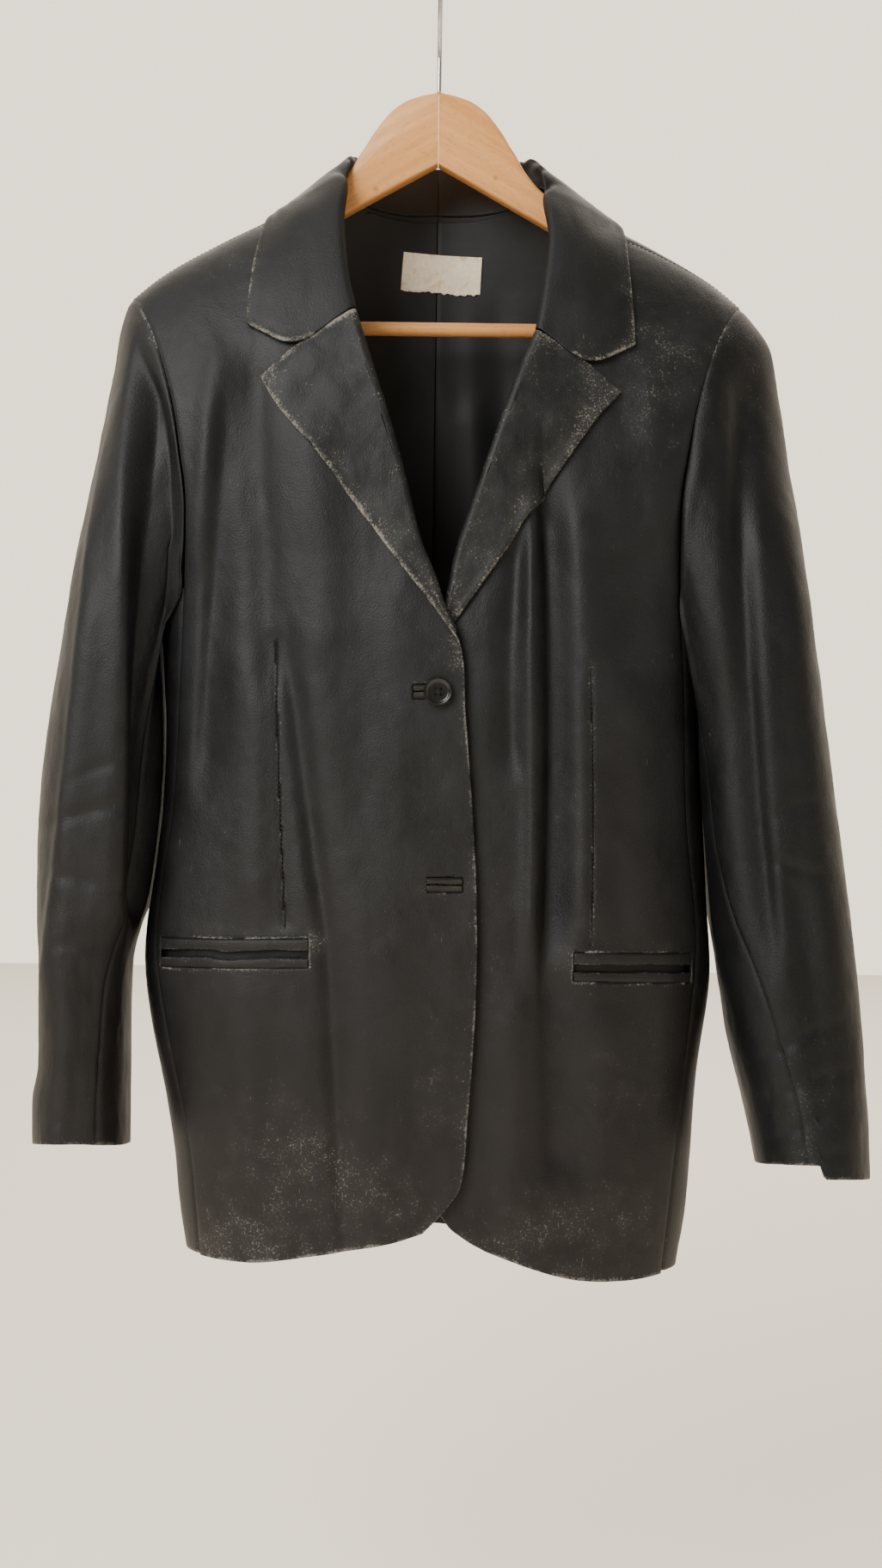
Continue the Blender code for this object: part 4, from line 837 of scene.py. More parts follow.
def make_sleeve(side, name, first, last):
    """One piece of a sleeve between two seams, in degrees round it."""
    breadth = (last - first) * 1.1          # millimetres round the sleeve
    across, share = np.meshgrid(stations(breadth, GRID_STEP * 1.1), stations(600, GRID_STEP * 1.5))
    share = 1 - share
    forward = (SEAM_AT_CUFF[side] - SLEEVE_SEAMS[0]) * ease((share - 0.4) / 0.55)
    first, last = (edge + forward * (edge == SLEEVE_SEAMS[0]) + gap
                   for edge, gap in ((first, 0.1), (last, -0.1)))
    angle = mix(first, last, across)
    grid = sleeve_face(side)(angle, share)
    ways = edge_ways(grid)
    seams = np.minimum(ways["left"], ways["right"])
    rubbed = np.maximum(0.75 * near(ways["foot"], 2.2), 0.6 * near(ways["top"], 3.4) * (np.abs(angle) < 42))
    x, z = grid[..., 0], grid[..., 2]
    scuffed = (0.35 * near(ways["foot"], 10) + 0.6 * near(ways["top"], 16) * (np.cos(np.radians(angle)) > 0.2)
               + 0.6 * blob(x, z, 225, -300, 14, 60) * (side > 0)
               + 0.5 * blob(x, z, 262, -800, 16, 40) * (side > 0)
               + 0.3 * blob(x, z, side * 275, -640, 16, 70) + 0.2 * near(seams, 8) * (z < -700))
    return sheet_on(name, grid, -side, 0.0, WALL, rubbed, scuffed,
                    [("left", 0.7), ("right", 0.7), ("top", 0.9)], 0.3)


for side, wearer in SIDES:
    for part, first, last in (("upper", SLEEVE_SEAMS[1] - 360, SLEEVE_SEAMS[0]), ("under", *SLEEVE_SEAMS)):
        made = make_sleeve(side, "sleeve_%s_%s_leather" % (part, wearer), first, last)
        PIECES[made.name] = (made, ["sleeve_%s_%s" % (part, wearer)])
        print(made.name, len(made.data.polygons), "faces")

# %% [markdown]
# A lapel is the front's facing turned outward: it starts behind the front, rolls over its edge
# and lies on the chest, where its own weight lifts the free edge a little. The edges are two
# layers sewn and turned, which is why they are the first place where the colour rubs off.

# %% Lapels
GORGE = {-1: (-55.7, -263.0), 1: (69.7, -276.0)}
NOTCH = {-1: (-95.4, -288.6), 1: (105.0, -299.0)}
LAPEL_TIP = {-1: (-118.4, -309.7), 1: (127.2, -318.0)}
COLLAR_POINT = {-1: (-129.8, -274.7), 1: (136.9, -285.7)}
LAPEL_EDGE = {
    -1: [(-118.4, -309.7), (-104, -334), (-80, -362), (-53, -398), (-35, -421), (-16, -446),
         (0, -466), (17, -489)],
    1: [(127.2, -318), (107, -342), (82, -380), (58, -415), (36, -449), (20, -472), (13, -481)],
}
TUCK = 10.0           # how far the facing goes down behind the front
LAPEL_LIFT = 2.3
LAPEL_ENDS = (0, 0.5, 1.1, 1.9, 3.0)


def make_lapel(side, name):
    roll = path([(x, z) for z, x in reversed(ROLL[side]) if z <= GORGE[side][1] + 0.5])
    edge = path(LAPEL_EDGE[side])
    top = path([GORGE[side], NOTCH[side], LAPEL_TIP[side]])

    def place(u, v):
        bend = top(u) - (roll(v * 0) * (1 - u)[..., None] + edge(v * 0) * u[..., None])
        return roll(v) * (1 - u)[..., None] + edge(v) * u[..., None] + bend * ((1 - v) ** 3)[..., None]
    v = mix(0.004, 1.0, stations(240, GRID_STEP, LAPEL_ENDS))
    root = place(v * 0, v)
    way = place(v * 0 + 1, v) - root
    reach = np.linalg.norm(way, axis=1)
    way = way / reach[:, None]
    middle = -WALL / 2
    spots, lifts = [], []
    for along in (TUCK, 7.0, 4.5):
        spots.append(root + way * np.minimum(along, reach)[:, None])
        lifts.append(np.full(len(v), middle - ROLL_RADIUS))
    for turn in np.radians(np.linspace(-90, 90, 13)):
        along = ROLL_RADIUS * (1 - math.cos(turn))
        spots.append(root + way * np.minimum(along, reach)[:, None])
        lifts.append(np.full(len(v), middle + ROLL_RADIUS * math.sin(turn)))
    for u in stations(75, GRID_STEP, LAPEL_ENDS)[3:]:
        share = np.maximum(u, ROLL_RADIUS * (1 + 0.3 * u) / reach)
        spots.append(place(share, v))
        lift = mix(middle + ROLL_RADIUS, LAPEL_LIFT, ease(u * 1.3))
        buckle = 0.7 * uneven(*spots[-1].T, 17, 90 + side) * ease(u * 3) * ease((1 - v) * 6)
        lifts.append(lift + np.maximum(buckle, -0.5))
    spots, lifts = np.array(spots).transpose(1, 0, 2), np.array(lifts).T
    grid = on_front(side, spots, lifts)
    ways = edge_ways(grid)
    x, z = spots[..., 0], spots[..., 1]
    pale = 1.0 if side < 0 else 0.62
    on_face = ease((lifts + 2) / 3)
    above = ways["foot"]                        # the first row is the lapel's top edge
    rubbed = np.maximum.reduce([0.85 * pale * near(ways["right"], 3.4), pale * near(above, 3.8),
                                0.5 * near(np.abs(lifts - middle), 2.2) * (ways["left"] > 4)]) * on_face
    scuffed = (0.55 * near(ways["right"], 14) + 0.4 * near(above, 12) + 0.35 * near(ways["left"] - 16, 9)
               + 0.22 + 0.5 * blob(x, z, 104, -345, 12, 40) * (side > 0)) * on_face
    normals = grid_normals(grid, -side)
    swell = 0.3 * near(np.minimum(ways["right"], above) - 2.4, 2.2) * on_face
    outer = grid + normals * (LAPEL_WALL / 2 + swell)[..., None]
    inner = grid - normals * LAPEL_WALL / 2
    return note_cut(wall(name, outer, inner, rubbed, scuffed, 0.55), grid)


for side, wearer in SIDES:
    made = make_lapel(side, "lapel_%s_leather" % wearer)
    PIECES[made.name] = (made, ["lapel_" + wearer])
    print(made.name, len(made.data.polygons), "faces")

# %% [markdown]
# The collar stands up behind the neck, folds over and falls on the shoulders, and in front it
# rolls over the fronts' edges as the lapels do. It is one sheet from notch to notch: stations
# across it are set round the neck, and smooth curves join them.

# %% Collar
COLLAR_BACK = [   # share of the neck's half width; fold, middle and edge of the leaf
    (0.0, (0, 49, -134), (0, 58, -166), (0, 58, -197)),
    (0.52, (38, 42, -134), (46, 51, -165), (50, 52, -199)),
    (0.88, (60, 22, -135), (74, 31, -155), (88, 37, -192)),
]
BACK_SHARES = (0.0, 0.2, 0.38, 0.52, 0.66, 0.78, 0.88)
COLLAR_SIDE = {
    -1: [((67.6, 2, -153.2), (62.5, 2, -140), (81, 1, -156.5), (111, 3, -180)),
         ((67.6, -9, -154.4), (64.0, -10, -149), (84, -9, -160), (113, -8, -183))],
    1: [((77.6, 2, -159.4), (72.8, 2, -145), (93, 1, -161), (122, 3, -183)),
        ((77.6, -9, -160.6), (75.4, -10, -155), (96, -9, -166), (125, -8, -186))],
}
COLLAR_FRONT = {   # fold and edge of the leaf as (x, z), and the tuck behind the fold
    -1: [((65.5, -164), (119, -193), 3.7), ((66, -194), (124.5, -218), 7.0),
         ((62, -232), (128, -246), 9.0)],
    1: [((76.3, -171), (130, -197), 3.7), ((79, -204), (133, -223), 7.0),
        ((75, -241), (135, -254), 9.0)],
}
LEAF_LIFT, LEAF_SWELL = 3.0, 1.6
STAND_SHARES = np.array((0.0, 0.12, 0.22, 0.29, 0.34, 0.38, 0.46, 0.56, 0.67, 0.78, 0.89, 1.0))
LEAF_SHARES = np.array((0.16, 0.32, 0.49, 0.66, 0.83, 1.0))
COLLAR_STEPS = 55     # across the collar, from its foot to the leaf's edge
FOLD_AT = 21.5        # the step where it folds over


def clear_of_torso(place, lift):
    """Push points out until they lie lift off the shoulder's outer face."""
    x, y, z = place[..., 0], place[..., 1], place[..., 2]
    width = np.where(x < 0, half_width[-1](z), half_width[1](z))
    deep = np.where(y < 0, front_depth(z), back_depth(z)) * rounding(x / width)
    tall = ridge(x) - CHEST_Z
    size = np.hypot(y / np.maximum(deep, 1), (z - CHEST_Z) / tall)
    reach = np.hypot(y, z - CHEST_Z) / size
    grow = np.where(z > CHEST_Z, np.maximum((1 + lift / reach) / size, 1.0), 1.0)
    return np.stack((x, y * grow, CHEST_Z + (z - CHEST_Z) * grow), -1)


def collar_in_front(side, fold, route, tuck):
    """Points across the collar in front: a tuck, the roll and the leaf."""
    middle = -WALL / 2
    way = unit(route(0.3) - fold)
    turn = np.radians((-90, -45, 0, 45, 90))
    spots = [fold + way * tuck] + [fold + way * ROLL_RADIUS * (1 - math.cos(t)) for t in turn]
    lifts = [middle - ROLL_RADIUS] + [middle + ROLL_RADIUS * math.sin(t) for t in turn]
    spots += [route(share) for share in LEAF_SHARES]
    lifts += [LEAF_LIFT + LEAF_SWELL * 4 * share * (1 - share) for share in LEAF_SHARES]
    return on_front(side, np.array(spots), np.array(lifts))


def collar_behind(foot, fold, middle, edge):
    """Points across the collar behind the neck: stand, fold and leaf."""
    foot, fold, middle, edge = (np.array(spot, float) for spot in (foot, fold, middle, edge))
    rise, fall = unit(fold - foot), unit(middle - fold)
    return path([foot, foot * 0.45 + fold * 0.55, fold - rise * 2.0, fold + (rise - fall) * 0.6,
                 fold + fall * 4.5, fold * 0.5 + middle * 0.5 + (0, 0, 0.8), middle, edge])(STAND_SHARES)


def collar_stations(side):
    """The points across each station on one side, from the centre back to the gorge."""
    wider, back, made = NECK_X[side] / NECK_X[-1], back_face(side), []
    spots = [[profile([(row[0], row[k][axis]) for row in COLLAR_BACK]) for axis in range(3)]
             for k in (1, 2, 3)]
    for share in BACK_SHARES:
        x = side * NECK_X[side] * share
        foot = back(x, neck_h(side, x)) + (-1.6 * side * ease((share - 0.5) * 2), 0, 0.9)
        rest = [(side * a(share) * mix(1, wider, share), b(share), c(share)) for a, b, c in spots]
        made.append(collar_behind(foot, *rest))
    for row in COLLAR_SIDE[side]:
        made.append(collar_behind(*[(side * x, y, z) for x, y, z in row]))
    for fold, edge, tuck in COLLAR_FRONT[side]:
        fold, edge = np.array((side * fold[0], fold[1])), np.array((side * edge[0], edge[1]))
        made.append(collar_in_front(side, fold, path([fold, edge]), tuck))
    gorge, notch, point = (np.array(spot[side]) + (0, 1.1) for spot in (GORGE, NOTCH, COLLAR_POINT))
    made.append(collar_in_front(side, gorge, path([gorge, notch, point]), 9.0))
    return np.array(made)


def make_collar(name):
    halves = []
    for side in (-1, 1):
        table = collar_stations(side)
        curves = [path(table[:, k]) for k in range(table.shape[1])]
        share = 1 - stations(330, GRID_STEP)
        lines = np.stack([curve(share) for curve in curves], 1)
        lines[:, 5:] = clear_of_torso(lines[:, 5:], LEAF_LIFT)
        halves.append(np.stack([path(line)(steps(COLLAR_STEPS)) for line in lines]))
    grid = np.concatenate((halves[0][:-1], halves[1][::-1]))
    ways = edge_ways(grid)
    x, z = grid[..., 0], grid[..., 2]
    rank = np.arange(COLLAR_STEPS + 1) + 0 * x
    leaf, fold = ease((rank - 22) / 6), near(rank - FOLD_AT, 2.0)
    ends = np.minimum(ways["foot"], ways["top"])
    in_front = ease((-grid[..., 1] + 5) / 20)
    rubbed = np.maximum.reduce([(0.7 + 0.2 * (x > 0)) * near(ways["right"], 2.4), 0.75 * near(ends, 2.6),
                                0.5 * fold * in_front * (x > 0), 0.22 * fold]) * leaf
    scuffed = (0.5 * near(ways["right"], 10) + 0.3 * near(ends, 9) + 0.15
               + 0.3 * blob(x, z, 84, -222, 6, 40)) * leaf
    normals = grid_normals(grid, -1)
    bend = 0.5 * uneven(x, z, 19, 97) * leaf * in_front
    swell = 0.3 * near(np.minimum(ways["right"], ends) - 2.4, 2.2)
    outer = grid + normals * (LAPEL_WALL / 2 + swell * leaf + np.maximum(bend, -0.3))[..., None]
    inner = grid - normals * LAPEL_WALL / 2
    return note_cut(wall(name, outer, inner, rubbed, scuffed, 0.55), grid)


collar = make_collar("collar_leather")
PIECES[collar.name] = (collar, ["collar"])
print(collar.name, len(collar.data.polygons), "faces")

# %% [markdown]
# A double-welt pocket is a slot with a folded strip of leather along its top and its bottom and
# a facing behind it. The strips are real folds here: one thin wall bent back on itself, so the
# mouth shows two rounded edges. The bound buttonholes are the same thing in small.

# %% Pocket welts, buttonhole lips and facings
FIT = 0.3             # gap between pieces that touch
LIP_GAP = 0.8         # from a buttonhole's middle to the fold of each lip


def folded_strip(name, side, x_range, z_seam, z_fold, fall, out, thick, wave, rubbed):
    """A strip folded along z_fold and sewn along z_seam, out proud of the front's face."""
    toward = 1 if z_fold > z_seam else -1
    radius = (thick + 0.15) / 2
    along = stations(abs(x_range[1] - x_range[0]), 2.0, (0, 0.6, 1.4))
    x = mix(x_range[0], x_range[1], along)
    face = front_face(side)
    length = abs(z_fold - z_seam) - radius
    section = [(length * share, -2 * radius) for share in (0.0, 0.35, 0.7, 1.0)]
    section += [(length + radius * math.cos(t), -radius + radius * math.sin(t))
                for t in np.radians((-67, -45, -22, 0, 22, 45, 67))]
    section += [(length, 0.0), (length * 0.7, 0.25), (length * 0.35, 0.2), (1.2, -0.1), (0.0, -0.6)]
    rows = []
    sway = wave * uneven(x, x * 0, 17, 120 + side) * 16 * along ** 2 * (1 - along) ** 2
    ripple = 0.4 * uneven(x, x * 0, 11, 130 + side)
    for up, deep in section:
        place = face(x, height_at(x, z_seam + toward * up + fall * np.abs(x - x_range[0])))
        place[:, 2] += sway * (up / (length + radius))
        place[:, 1] -= out + deep - thick / 2 + ripple * (deep > -radius)
        rows.append(place)
    grid = np.array(rows)
    normals = grid_normals(grid, -side * toward)
    rank = np.arange(len(section))[:, None]
    marks = rubbed * np.exp(-((rank - 8.5) / 2.2) ** 2) * np.ones(len(x))
    outer, inner = grid + normals * thick / 2, grid - normals * thick / 2
    return note_cut(wall(name, outer, inner, marks, 0.4 * marks + 0.25, 0.1), grid)


for side, wearer in SIDES:
    x_in, x_out, low, high, fall = pocket_box(side)
    ends = (x_in + side * FIT, x_out - side * FIT)
    upper, _, lower = POCKET_WELTS
    for part, seam, fold in (("welt_upper", high - FIT, high - upper),
                             ("welt_lower", low + FIT, low + lower)):
        made = folded_strip("pocket_%s_%s_leather" % (wearer, part), side, ends, seam, fold, fall,
                            out=0.7, thick=1.1, wave=1.2, rubbed=0.5)
        PIECES[made.name] = (made, ["pocket_%s_%s" % (wearer, part)])
    x, z = np.meshgrid(mix(ends[0] - side * 3, ends[1], steps(40)), mix(low - 4, high + 4, steps(14)))
    grid = front_face(side)(x, height_at(x, z + fall * np.abs(x - x_in)))
    # The facing behind the mouth later takes a near-black finish that paints the pocket's shade.
    made = sheet_on("pocket_%s_facing_leather" % wearer, grid, side, -WALL - 1.6, 1.1)
    PIECES[made.name] = (made, ["pocket_%s_facing" % wearer])
for where, place in BUTTONHOLES.items():
    x_a, x_b, low, high = buttonhole_box(place)
    for part, seam, fold in (("top", high - 2 * FIT, place[1] + LIP_GAP),
                             ("bottom", low + 2 * FIT, place[1] - LIP_GAP)):
        made = folded_strip("buttonhole_%s_lip_%s_leather" % (where, part), -1, (x_a - FIT, x_b + FIT),
                            seam, fold, 0.0, out=1.0, thick=0.9, wave=0.5, rubbed=0.4)
        PIECES[made.name] = (made, ["buttonhole_%s_lip_%s" % (where, part)])
print("strips:", sum("welt" in name or "lip" in name for name in PIECES))

# %% [markdown]
# Inside the neck the coat shows its satin lining, sewn from two halves, and the maker's label
# with its frayed lower edge. Lining hangs looser than leather, in long soft folds.

# %% Lining and label
LINING_X = 104.0              # half its width, as far as the neck shows it
LINING_CORNER = 20.0
LINING_WALL = 1.0
LINING_LIFT = -(WALL + 1.7)   # its outer side lies inside the back's wall
LINING_FOLDS = [([(-62, -200), (-54, -330), (-50, -480)], 10, 14, 1.6),
                ([(-30, -240), (-24, -360), (-22, -480)], 9, 12, -1.3),
                ([(26, -250), (30, -360), (32, -480)], 9, 10, 1.5),
                ([(48, -220), (52, -340), (56, -480)], 10, 10, -1.4),
                ([(8, -300), (12, -400), (12, -480)], 7, 9, 1.0)]


def lining_face(side):
    face = back_face(side, 0.0)

    def point(x, h):
        place = face(x, h)
        place[..., 1] -= fold_height(LINING_FOLDS, place[..., 0], place[..., 2]) * 0.8
        return place
    return point


def make_lining(side, name):
    def top(x):
        flat = NECK_X[side] - LINING_CORNER
        drop = mix(neck_h(side, side * flat) - 2.5, ARC * math.radians(76),
                   ease((np.abs(x) - flat) / LINING_CORNER))
        return np.where(np.abs(x) <= flat, neck_h(side, x) - 2.5, drop)
    u, v = np.meshgrid(stations(LINING_X, 2.0, (0, 0.5, 1.2, 2.2)), stations(300, 2.6))
    x = side * mix(SEAM, LINING_X, u)
    grid = lining_face(side)(x, mix(-60.0, top(x), v))
    normals = grid_normals(grid, -side)
    sunk = 0.5 * near(edge_ways(grid)["left"], 1.4) * (1 if side > 0 else 0.2)
    outer = grid + normals * LINING_LIFT
    inner = grid + normals * (LINING_LIFT - LINING_WALL + sunk)[..., None]
    return note_cut(wall(name, outer, inner), grid)


for side, wearer in SIDES:
    made = make_lining(side, "lining_%s_satin" % wearer)
    PIECES[made.name] = (made, ["lining_" + wearer])

LABEL_CENTRE, LABEL_SIZE, LABEL_TURN = (3.5, -212.0), (60.0, 27.5), math.radians(-3.5)
LABEL_WALL, LABEL_AWAY = 0.45, 0.55


def make_label(name):
    long, tall = LABEL_SIZE
    a, b = np.meshgrid(mix(-0.5, 0.5, steps(60)) * long, mix(-0.5, 0.5, steps(28)) * tall)
    frayed = 0.8 * uneven(a, a * 0, 3.1, 5) + 0.5 * uneven(a, a * 0, 1.3, 6)
    b = b + frayed * ease((-b / tall - 0.3) * 5)
    x = LABEL_CENTRE[0] + a * math.cos(LABEL_TURN) - b * math.sin(LABEL_TURN)
    z = LABEL_CENTRE[1] + a * math.sin(LABEL_TURN) + b * math.cos(LABEL_TURN)
    h = height_at(x, z)
    grid = np.where((x >= 0)[..., None], lining_face(1)(x, h), lining_face(-1)(x, h))
    lift = LINING_LIFT - LINING_WALL - LABEL_AWAY - 0.35 * uneven(a, b, 9, 8)
    normals = grid_normals(grid, -1)
    outer = grid + normals * lift[..., None]
    inner = grid + normals * (lift - LABEL_WALL)[..., None]
    return note_cut(wall(name, outer, inner), grid)


label = make_label("label_cloth")
PIECES[label.name] = (label, ["label"])
print("label:", [round(s * 1000, 1) for s in CLOTH[label.name][:2]], "mm")

# %% [markdown]
# The button is turned from a dark horn-like plastic: a low dish with a raised rim and four
# holes, sewn on with a crossed thread. A profile spun round an axis is how a lathe makes it.

# %% Buttons and their thread
BUTTON_RADIUS, BUTTON_THICK, BUTTON_WELL = 9.8, 3.4, 1.15     # the well lies below the rim's top
HOLE_CIRCLE, HOLE_RADIUS, THREAD_RADIUS = 2.3, 0.95, 0.36
BUTTON_SIDES = 48
BUTTONS = {"upper": (5.4, -525.8, -1, 1.1), "lower": (10.0, -656.0, 1, 0.4)}   # x, z, front, lift


def turned_button(name, spot):
    """A button's profile spun round its axis, which faces forward."""
    r, t, sides = BUTTON_RADIUS, BUTTON_THICK, BUTTON_SIDES
    outline = [(r * 0.8, 0), (r * 0.93, 0.3), (r, 1.0), (r, t - 1.0), (r - 0.2, t - 0.4), (r - 0.7, t),
               (r - 1.5, t), (r - 2.1, t - 0.35), (r - 2.7, t - 0.95), (r - 3.4, t - 1.1),
               (r - 6.0, t - BUTTON_WELL)]
    turn = np.linspace(0, 2 * math.pi, sides, endpoint=False)
    rings = [np.stack((spot[0] + radius * np.cos(turn), spot[1] - height + turn * 0,
                       spot[2] + radius * np.sin(turn)), 1) for radius, height in outline]
    corners = np.concatenate([[spot]] + rings + [[spot - (0, t - BUTTON_WELL, 0)]])
    faces, last = [], 1 + (len(outline) - 1) * sides
    for k in range(sides):
        n = (k + 1) % sides
        faces.append((0, 1 + k, 1 + n))
        faces += [(a + k, a + sides + k, a + sides + n, a + n) for a in range(1, last, sides)]
        faces.append((last + n, last + k, len(corners) - 1))
    return make_mesh(name, corners, faces)


def around_axis(k):
    """Direction from a button's middle to one of its four holes."""
    angle = math.radians(45 + 90 * k)
    return Vector((math.cos(angle), 0, math.sin(angle)))


def drill_hole(button, centre):
    drill = bpy.data.meshes.new("drill")
    work = bmesh.new()
    bmesh.ops.create_cone(work, cap_ends=True, segments=14, radius1=HOLE_RADIUS * MM,
                          radius2=HOLE_RADIUS * MM, depth=12 * MM)
    forward = Matrix.Translation(centre * MM) @ Matrix.Rotation(math.radians(90), 4, "X")
    bmesh.ops.transform(work, verts=work.verts, matrix=forward)
    work.to_mesh(drill)
    work.free()
    cut_with(put("drill", drill), button)


def sew_on(name, spot):
    """Two crossed pairs of thread over a button's holes, drawn as rows of small balls."""
    thread = bmesh.new()
    for k in (0, 1):
        way = around_axis(k)
        for shift in (-0.35, 0.35):
            beside = Vector((-way.z, 0, way.x)) * shift
            for s in np.linspace(-2.2, 2.2, 9):
                rise = BUTTON_THICK - BUTTON_WELL + 0.75 * (1 - (s / HOLE_CIRCLE) ** 4) - 0.2 + 0.25 * k
                centre = spot + way * float(s) + beside - Vector((0, rise, 0))
                bmesh.ops.create_icosphere(thread, subdivisions=1, radius=THREAD_RADIUS * MM,
                                           matrix=Matrix.Translation(centre * MM))
    mesh = bpy.data.meshes.new(name)
    thread.to_mesh(mesh)
    thread.free()
    mesh.shade_smooth()
    return put(name, mesh)


def make_button(where):
    x, z, side, lift = BUTTONS[where]
    spot = front_face(side)(x, z - CHEST_Z) - (0, lift, 0)
    button = turned_button("button_%s_horn" % where, spot)
    for k in range(4):
        drill_hole(button, Vector(spot) + around_axis(k) * HOLE_CIRCLE)
    button.data.set_sharp_from_angle(angle=math.radians(35))
    return button, sew_on("button_%s_thread" % where, Vector(spot))


for where in BUTTONS:
    button, sewn = make_button(where)
    PIECES[button.name] = (button, ["button_" + where])
    PIECES[sewn.name] = (sewn, [])
    print(button.name, len(button.data.polygons), "faces")

# %% [markdown]
# The hanger: two arms sawn from a beech board and glued in a mitre, their edges rounded over
# with a router, a round bar, and a hook of plated wire. The arms are one drawn outline given
# the board's thickness, with rings set in round its edges for the router's work.

# %% Hanger arms, bar and hook
HANGER_THICK = 14.0
MITRE = 0.15                            # each arm stops this far from the middle
EDGE_ROUND = [(0.0, 2.6), (0.35, 1.3), (1.1, 0.45), (2.6, 0.0)]     # depth from a face, and inward
HUMP = [(MITRE, -95), (9, -96.5), (17.6, -99), (24.6, -102), (34, -109), (40, -116), (46.5, -125),
        (51, -132.5), (56, -140), (60.5, -148.5), (66, -155.8), (74, -164.5)]
ARM_LOW_Z, ARM_SLOPE, ARM_DROP = -146.0, math.tan(math.radians(29.5)), 5.3
BAR_Z, BAR_RADIUS, BAR_END = -263.0, 5.0, 192.0
WIRE_RADIUS, HOOK_RADIUS = 1.7, 20.0
SHANK = [(0, -13, -46), (0, -4.5, -57), (0, 0, -68), (0, 0, -78), (0, 0, -88), (0, 0, -94.7)]


def make_arm(side, name):
    """One arm, with rings round its thickness that a rounded edge needs."""
    top = HUMP + [(x, float(ridge(x)) - ARM_DROP) for x in (90, 105, 119, 135, 150, 172, 193, 206)]
    tip = [(213, -250), (215, -258), (213, -268), (208, -273), (BAR_END + 4, -273), (BAR_END, -270)]
    low = [(x, ARM_LOW_Z - ARM_SLOPE * x) for x in (BAR_END, 160, 110, 60, 30, MITRE)]
    smooth_top = path(top + tip[:4])(steps(70))
    outline = np.concatenate((smooth_top, tip[4:], low))
    half, corners, count = HANGER_THICK / 2, [], len(outline)
    previous, following = np.roll(outline, 1, axis=0), np.roll(outline, -1, axis=0)
    way = unit(following - previous)
    inward = np.stack((way[:, 1], -way[:, 0]), 1)
    centre_side = np.abs(outline[:, 0] - MITRE) < 0.01
    far_side = [(HANGER_THICK - deep, inset) for deep, inset in reversed(EDGE_ROUND)]
    for y_in, z_in in EDGE_ROUND + [(half, 0.0)] + far_side:
        shrink = inward * z_in
        shrink[centre_side] = np.array((0.0, 1.0)) * shrink[centre_side, 1:2]
        spot = outline + shrink
        corners.append(np.stack((side * spot[:, 0], np.full(count, -half + y_in), spot[:, 1]), 1))
    faces = []
    for ring in range(len(corners) - 1):
        for k in range(count):
            n = (k + 1) % count
            a, b = ring * count, (ring + 1) * count
            faces.append((a + k, a + n, b + n, b + k))
    faces.append(tuple(range(count)))
    faces.append(tuple(reversed(range((len(corners) - 1) * count, len(corners) * count))))
    arm = make_mesh(name, np.concatenate(corners), faces)
    arm.data.set_sharp_from_angle(angle=math.radians(38))
    return arm


def tube(name, centre_line, radius, sides, square_to):
    """A round bar or wire along a line that lies square to one direction, with eased ends."""
    line = np.array(centre_line, float)
    way = unit(np.gradient(line, axis=0))
    across = unit(np.cross(way, np.array(square_to, float)))
    third = np.cross(way, across)
    turn = np.linspace(0, 2 * math.pi, sides, endpoint=False)
    sizes = np.full(len(line), radius)
    sizes[0], sizes[-1] = radius * 0.8, radius * 0.8
    corners = [spot + size * (np.cos(turn)[:, None] * a + np.sin(turn)[:, None] * b)
               for spot, a, b, size in zip(line, across, third, sizes)]
    starts = range(0, (len(line) - 1) * sides, sides)
    faces = [(r + k, r + (k + 1) % sides, r + sides + (k + 1) % sides, r + sides + k)
             for r in starts for k in range(sides)]
    faces += [tuple(range(sides)), tuple(reversed(range(len(starts) * sides, len(line) * sides)))]
    return make_mesh(name, np.concatenate(corners), faces)


for side, wearer in SIDES:
    arm = make_arm(side, "arm_%s_beech" % wearer)
    PIECES[arm.name] = (arm, ["hanger_arm_" + wearer])
reach = BAR_END - FIT
bar_x = np.concatenate(([-reach, -reach + 0.6], np.linspace(-180, 180, 31), [reach - 0.6, reach]))
bar = tube("bar_beech", [(x, 0, BAR_Z) for x in bar_x], BAR_RADIUS, 40, (0, 1, 0))
PIECES[bar.name] = (bar, ["hanger_bar"])
middle = HOOK_RADIUS + WIRE_RADIUS
crown = [(0, middle * math.cos(t), -HOOK_RADIUS + middle * math.sin(t))
         for t in np.radians(np.arange(-25, 201, 3))]
bend = path([crown[-1], *SHANK])
tip = np.array(crown[0]) + unit(np.array(crown[0]) - np.array(crown[1])) * 0.5
hook = tube("hook_wire", np.concatenate(([tip], crown, bend(steps(40)[1:]))), WIRE_RADIUS, 24, (1, 0, 0))
PIECES[hook.name] = (hook, ["hanger_hook"])
print("hanger pieces:", arm.name, bar.name, hook.name)

# %% [markdown]
# Thread shows on the darts, along the shoulders, above the pockets and round the label; rows are
# drawn for all but the label. Each row of stitches is a line on the cloth, and a Geometry Nodes
# tree sets one small stitch on it every few millimetres. One tree serves every row, with the
# stitch's length and thickness as its inputs, and it ends as plain mesh.

# %% Rows of stitches


def add(tree, kind, inputs=None, **settings):
    """Add a node with its settings; inputs may be values or sockets to link from."""
    node = tree.nodes.new(kind)
    for key, value in settings.items():
        setattr(node, key, value)
    for key, value in (inputs or {}).items():
        if isinstance(value, bpy.types.NodeSocket):
            tree.links.new(value, node.inputs[key])
        else:
            node.inputs[key].default_value = value
    return node


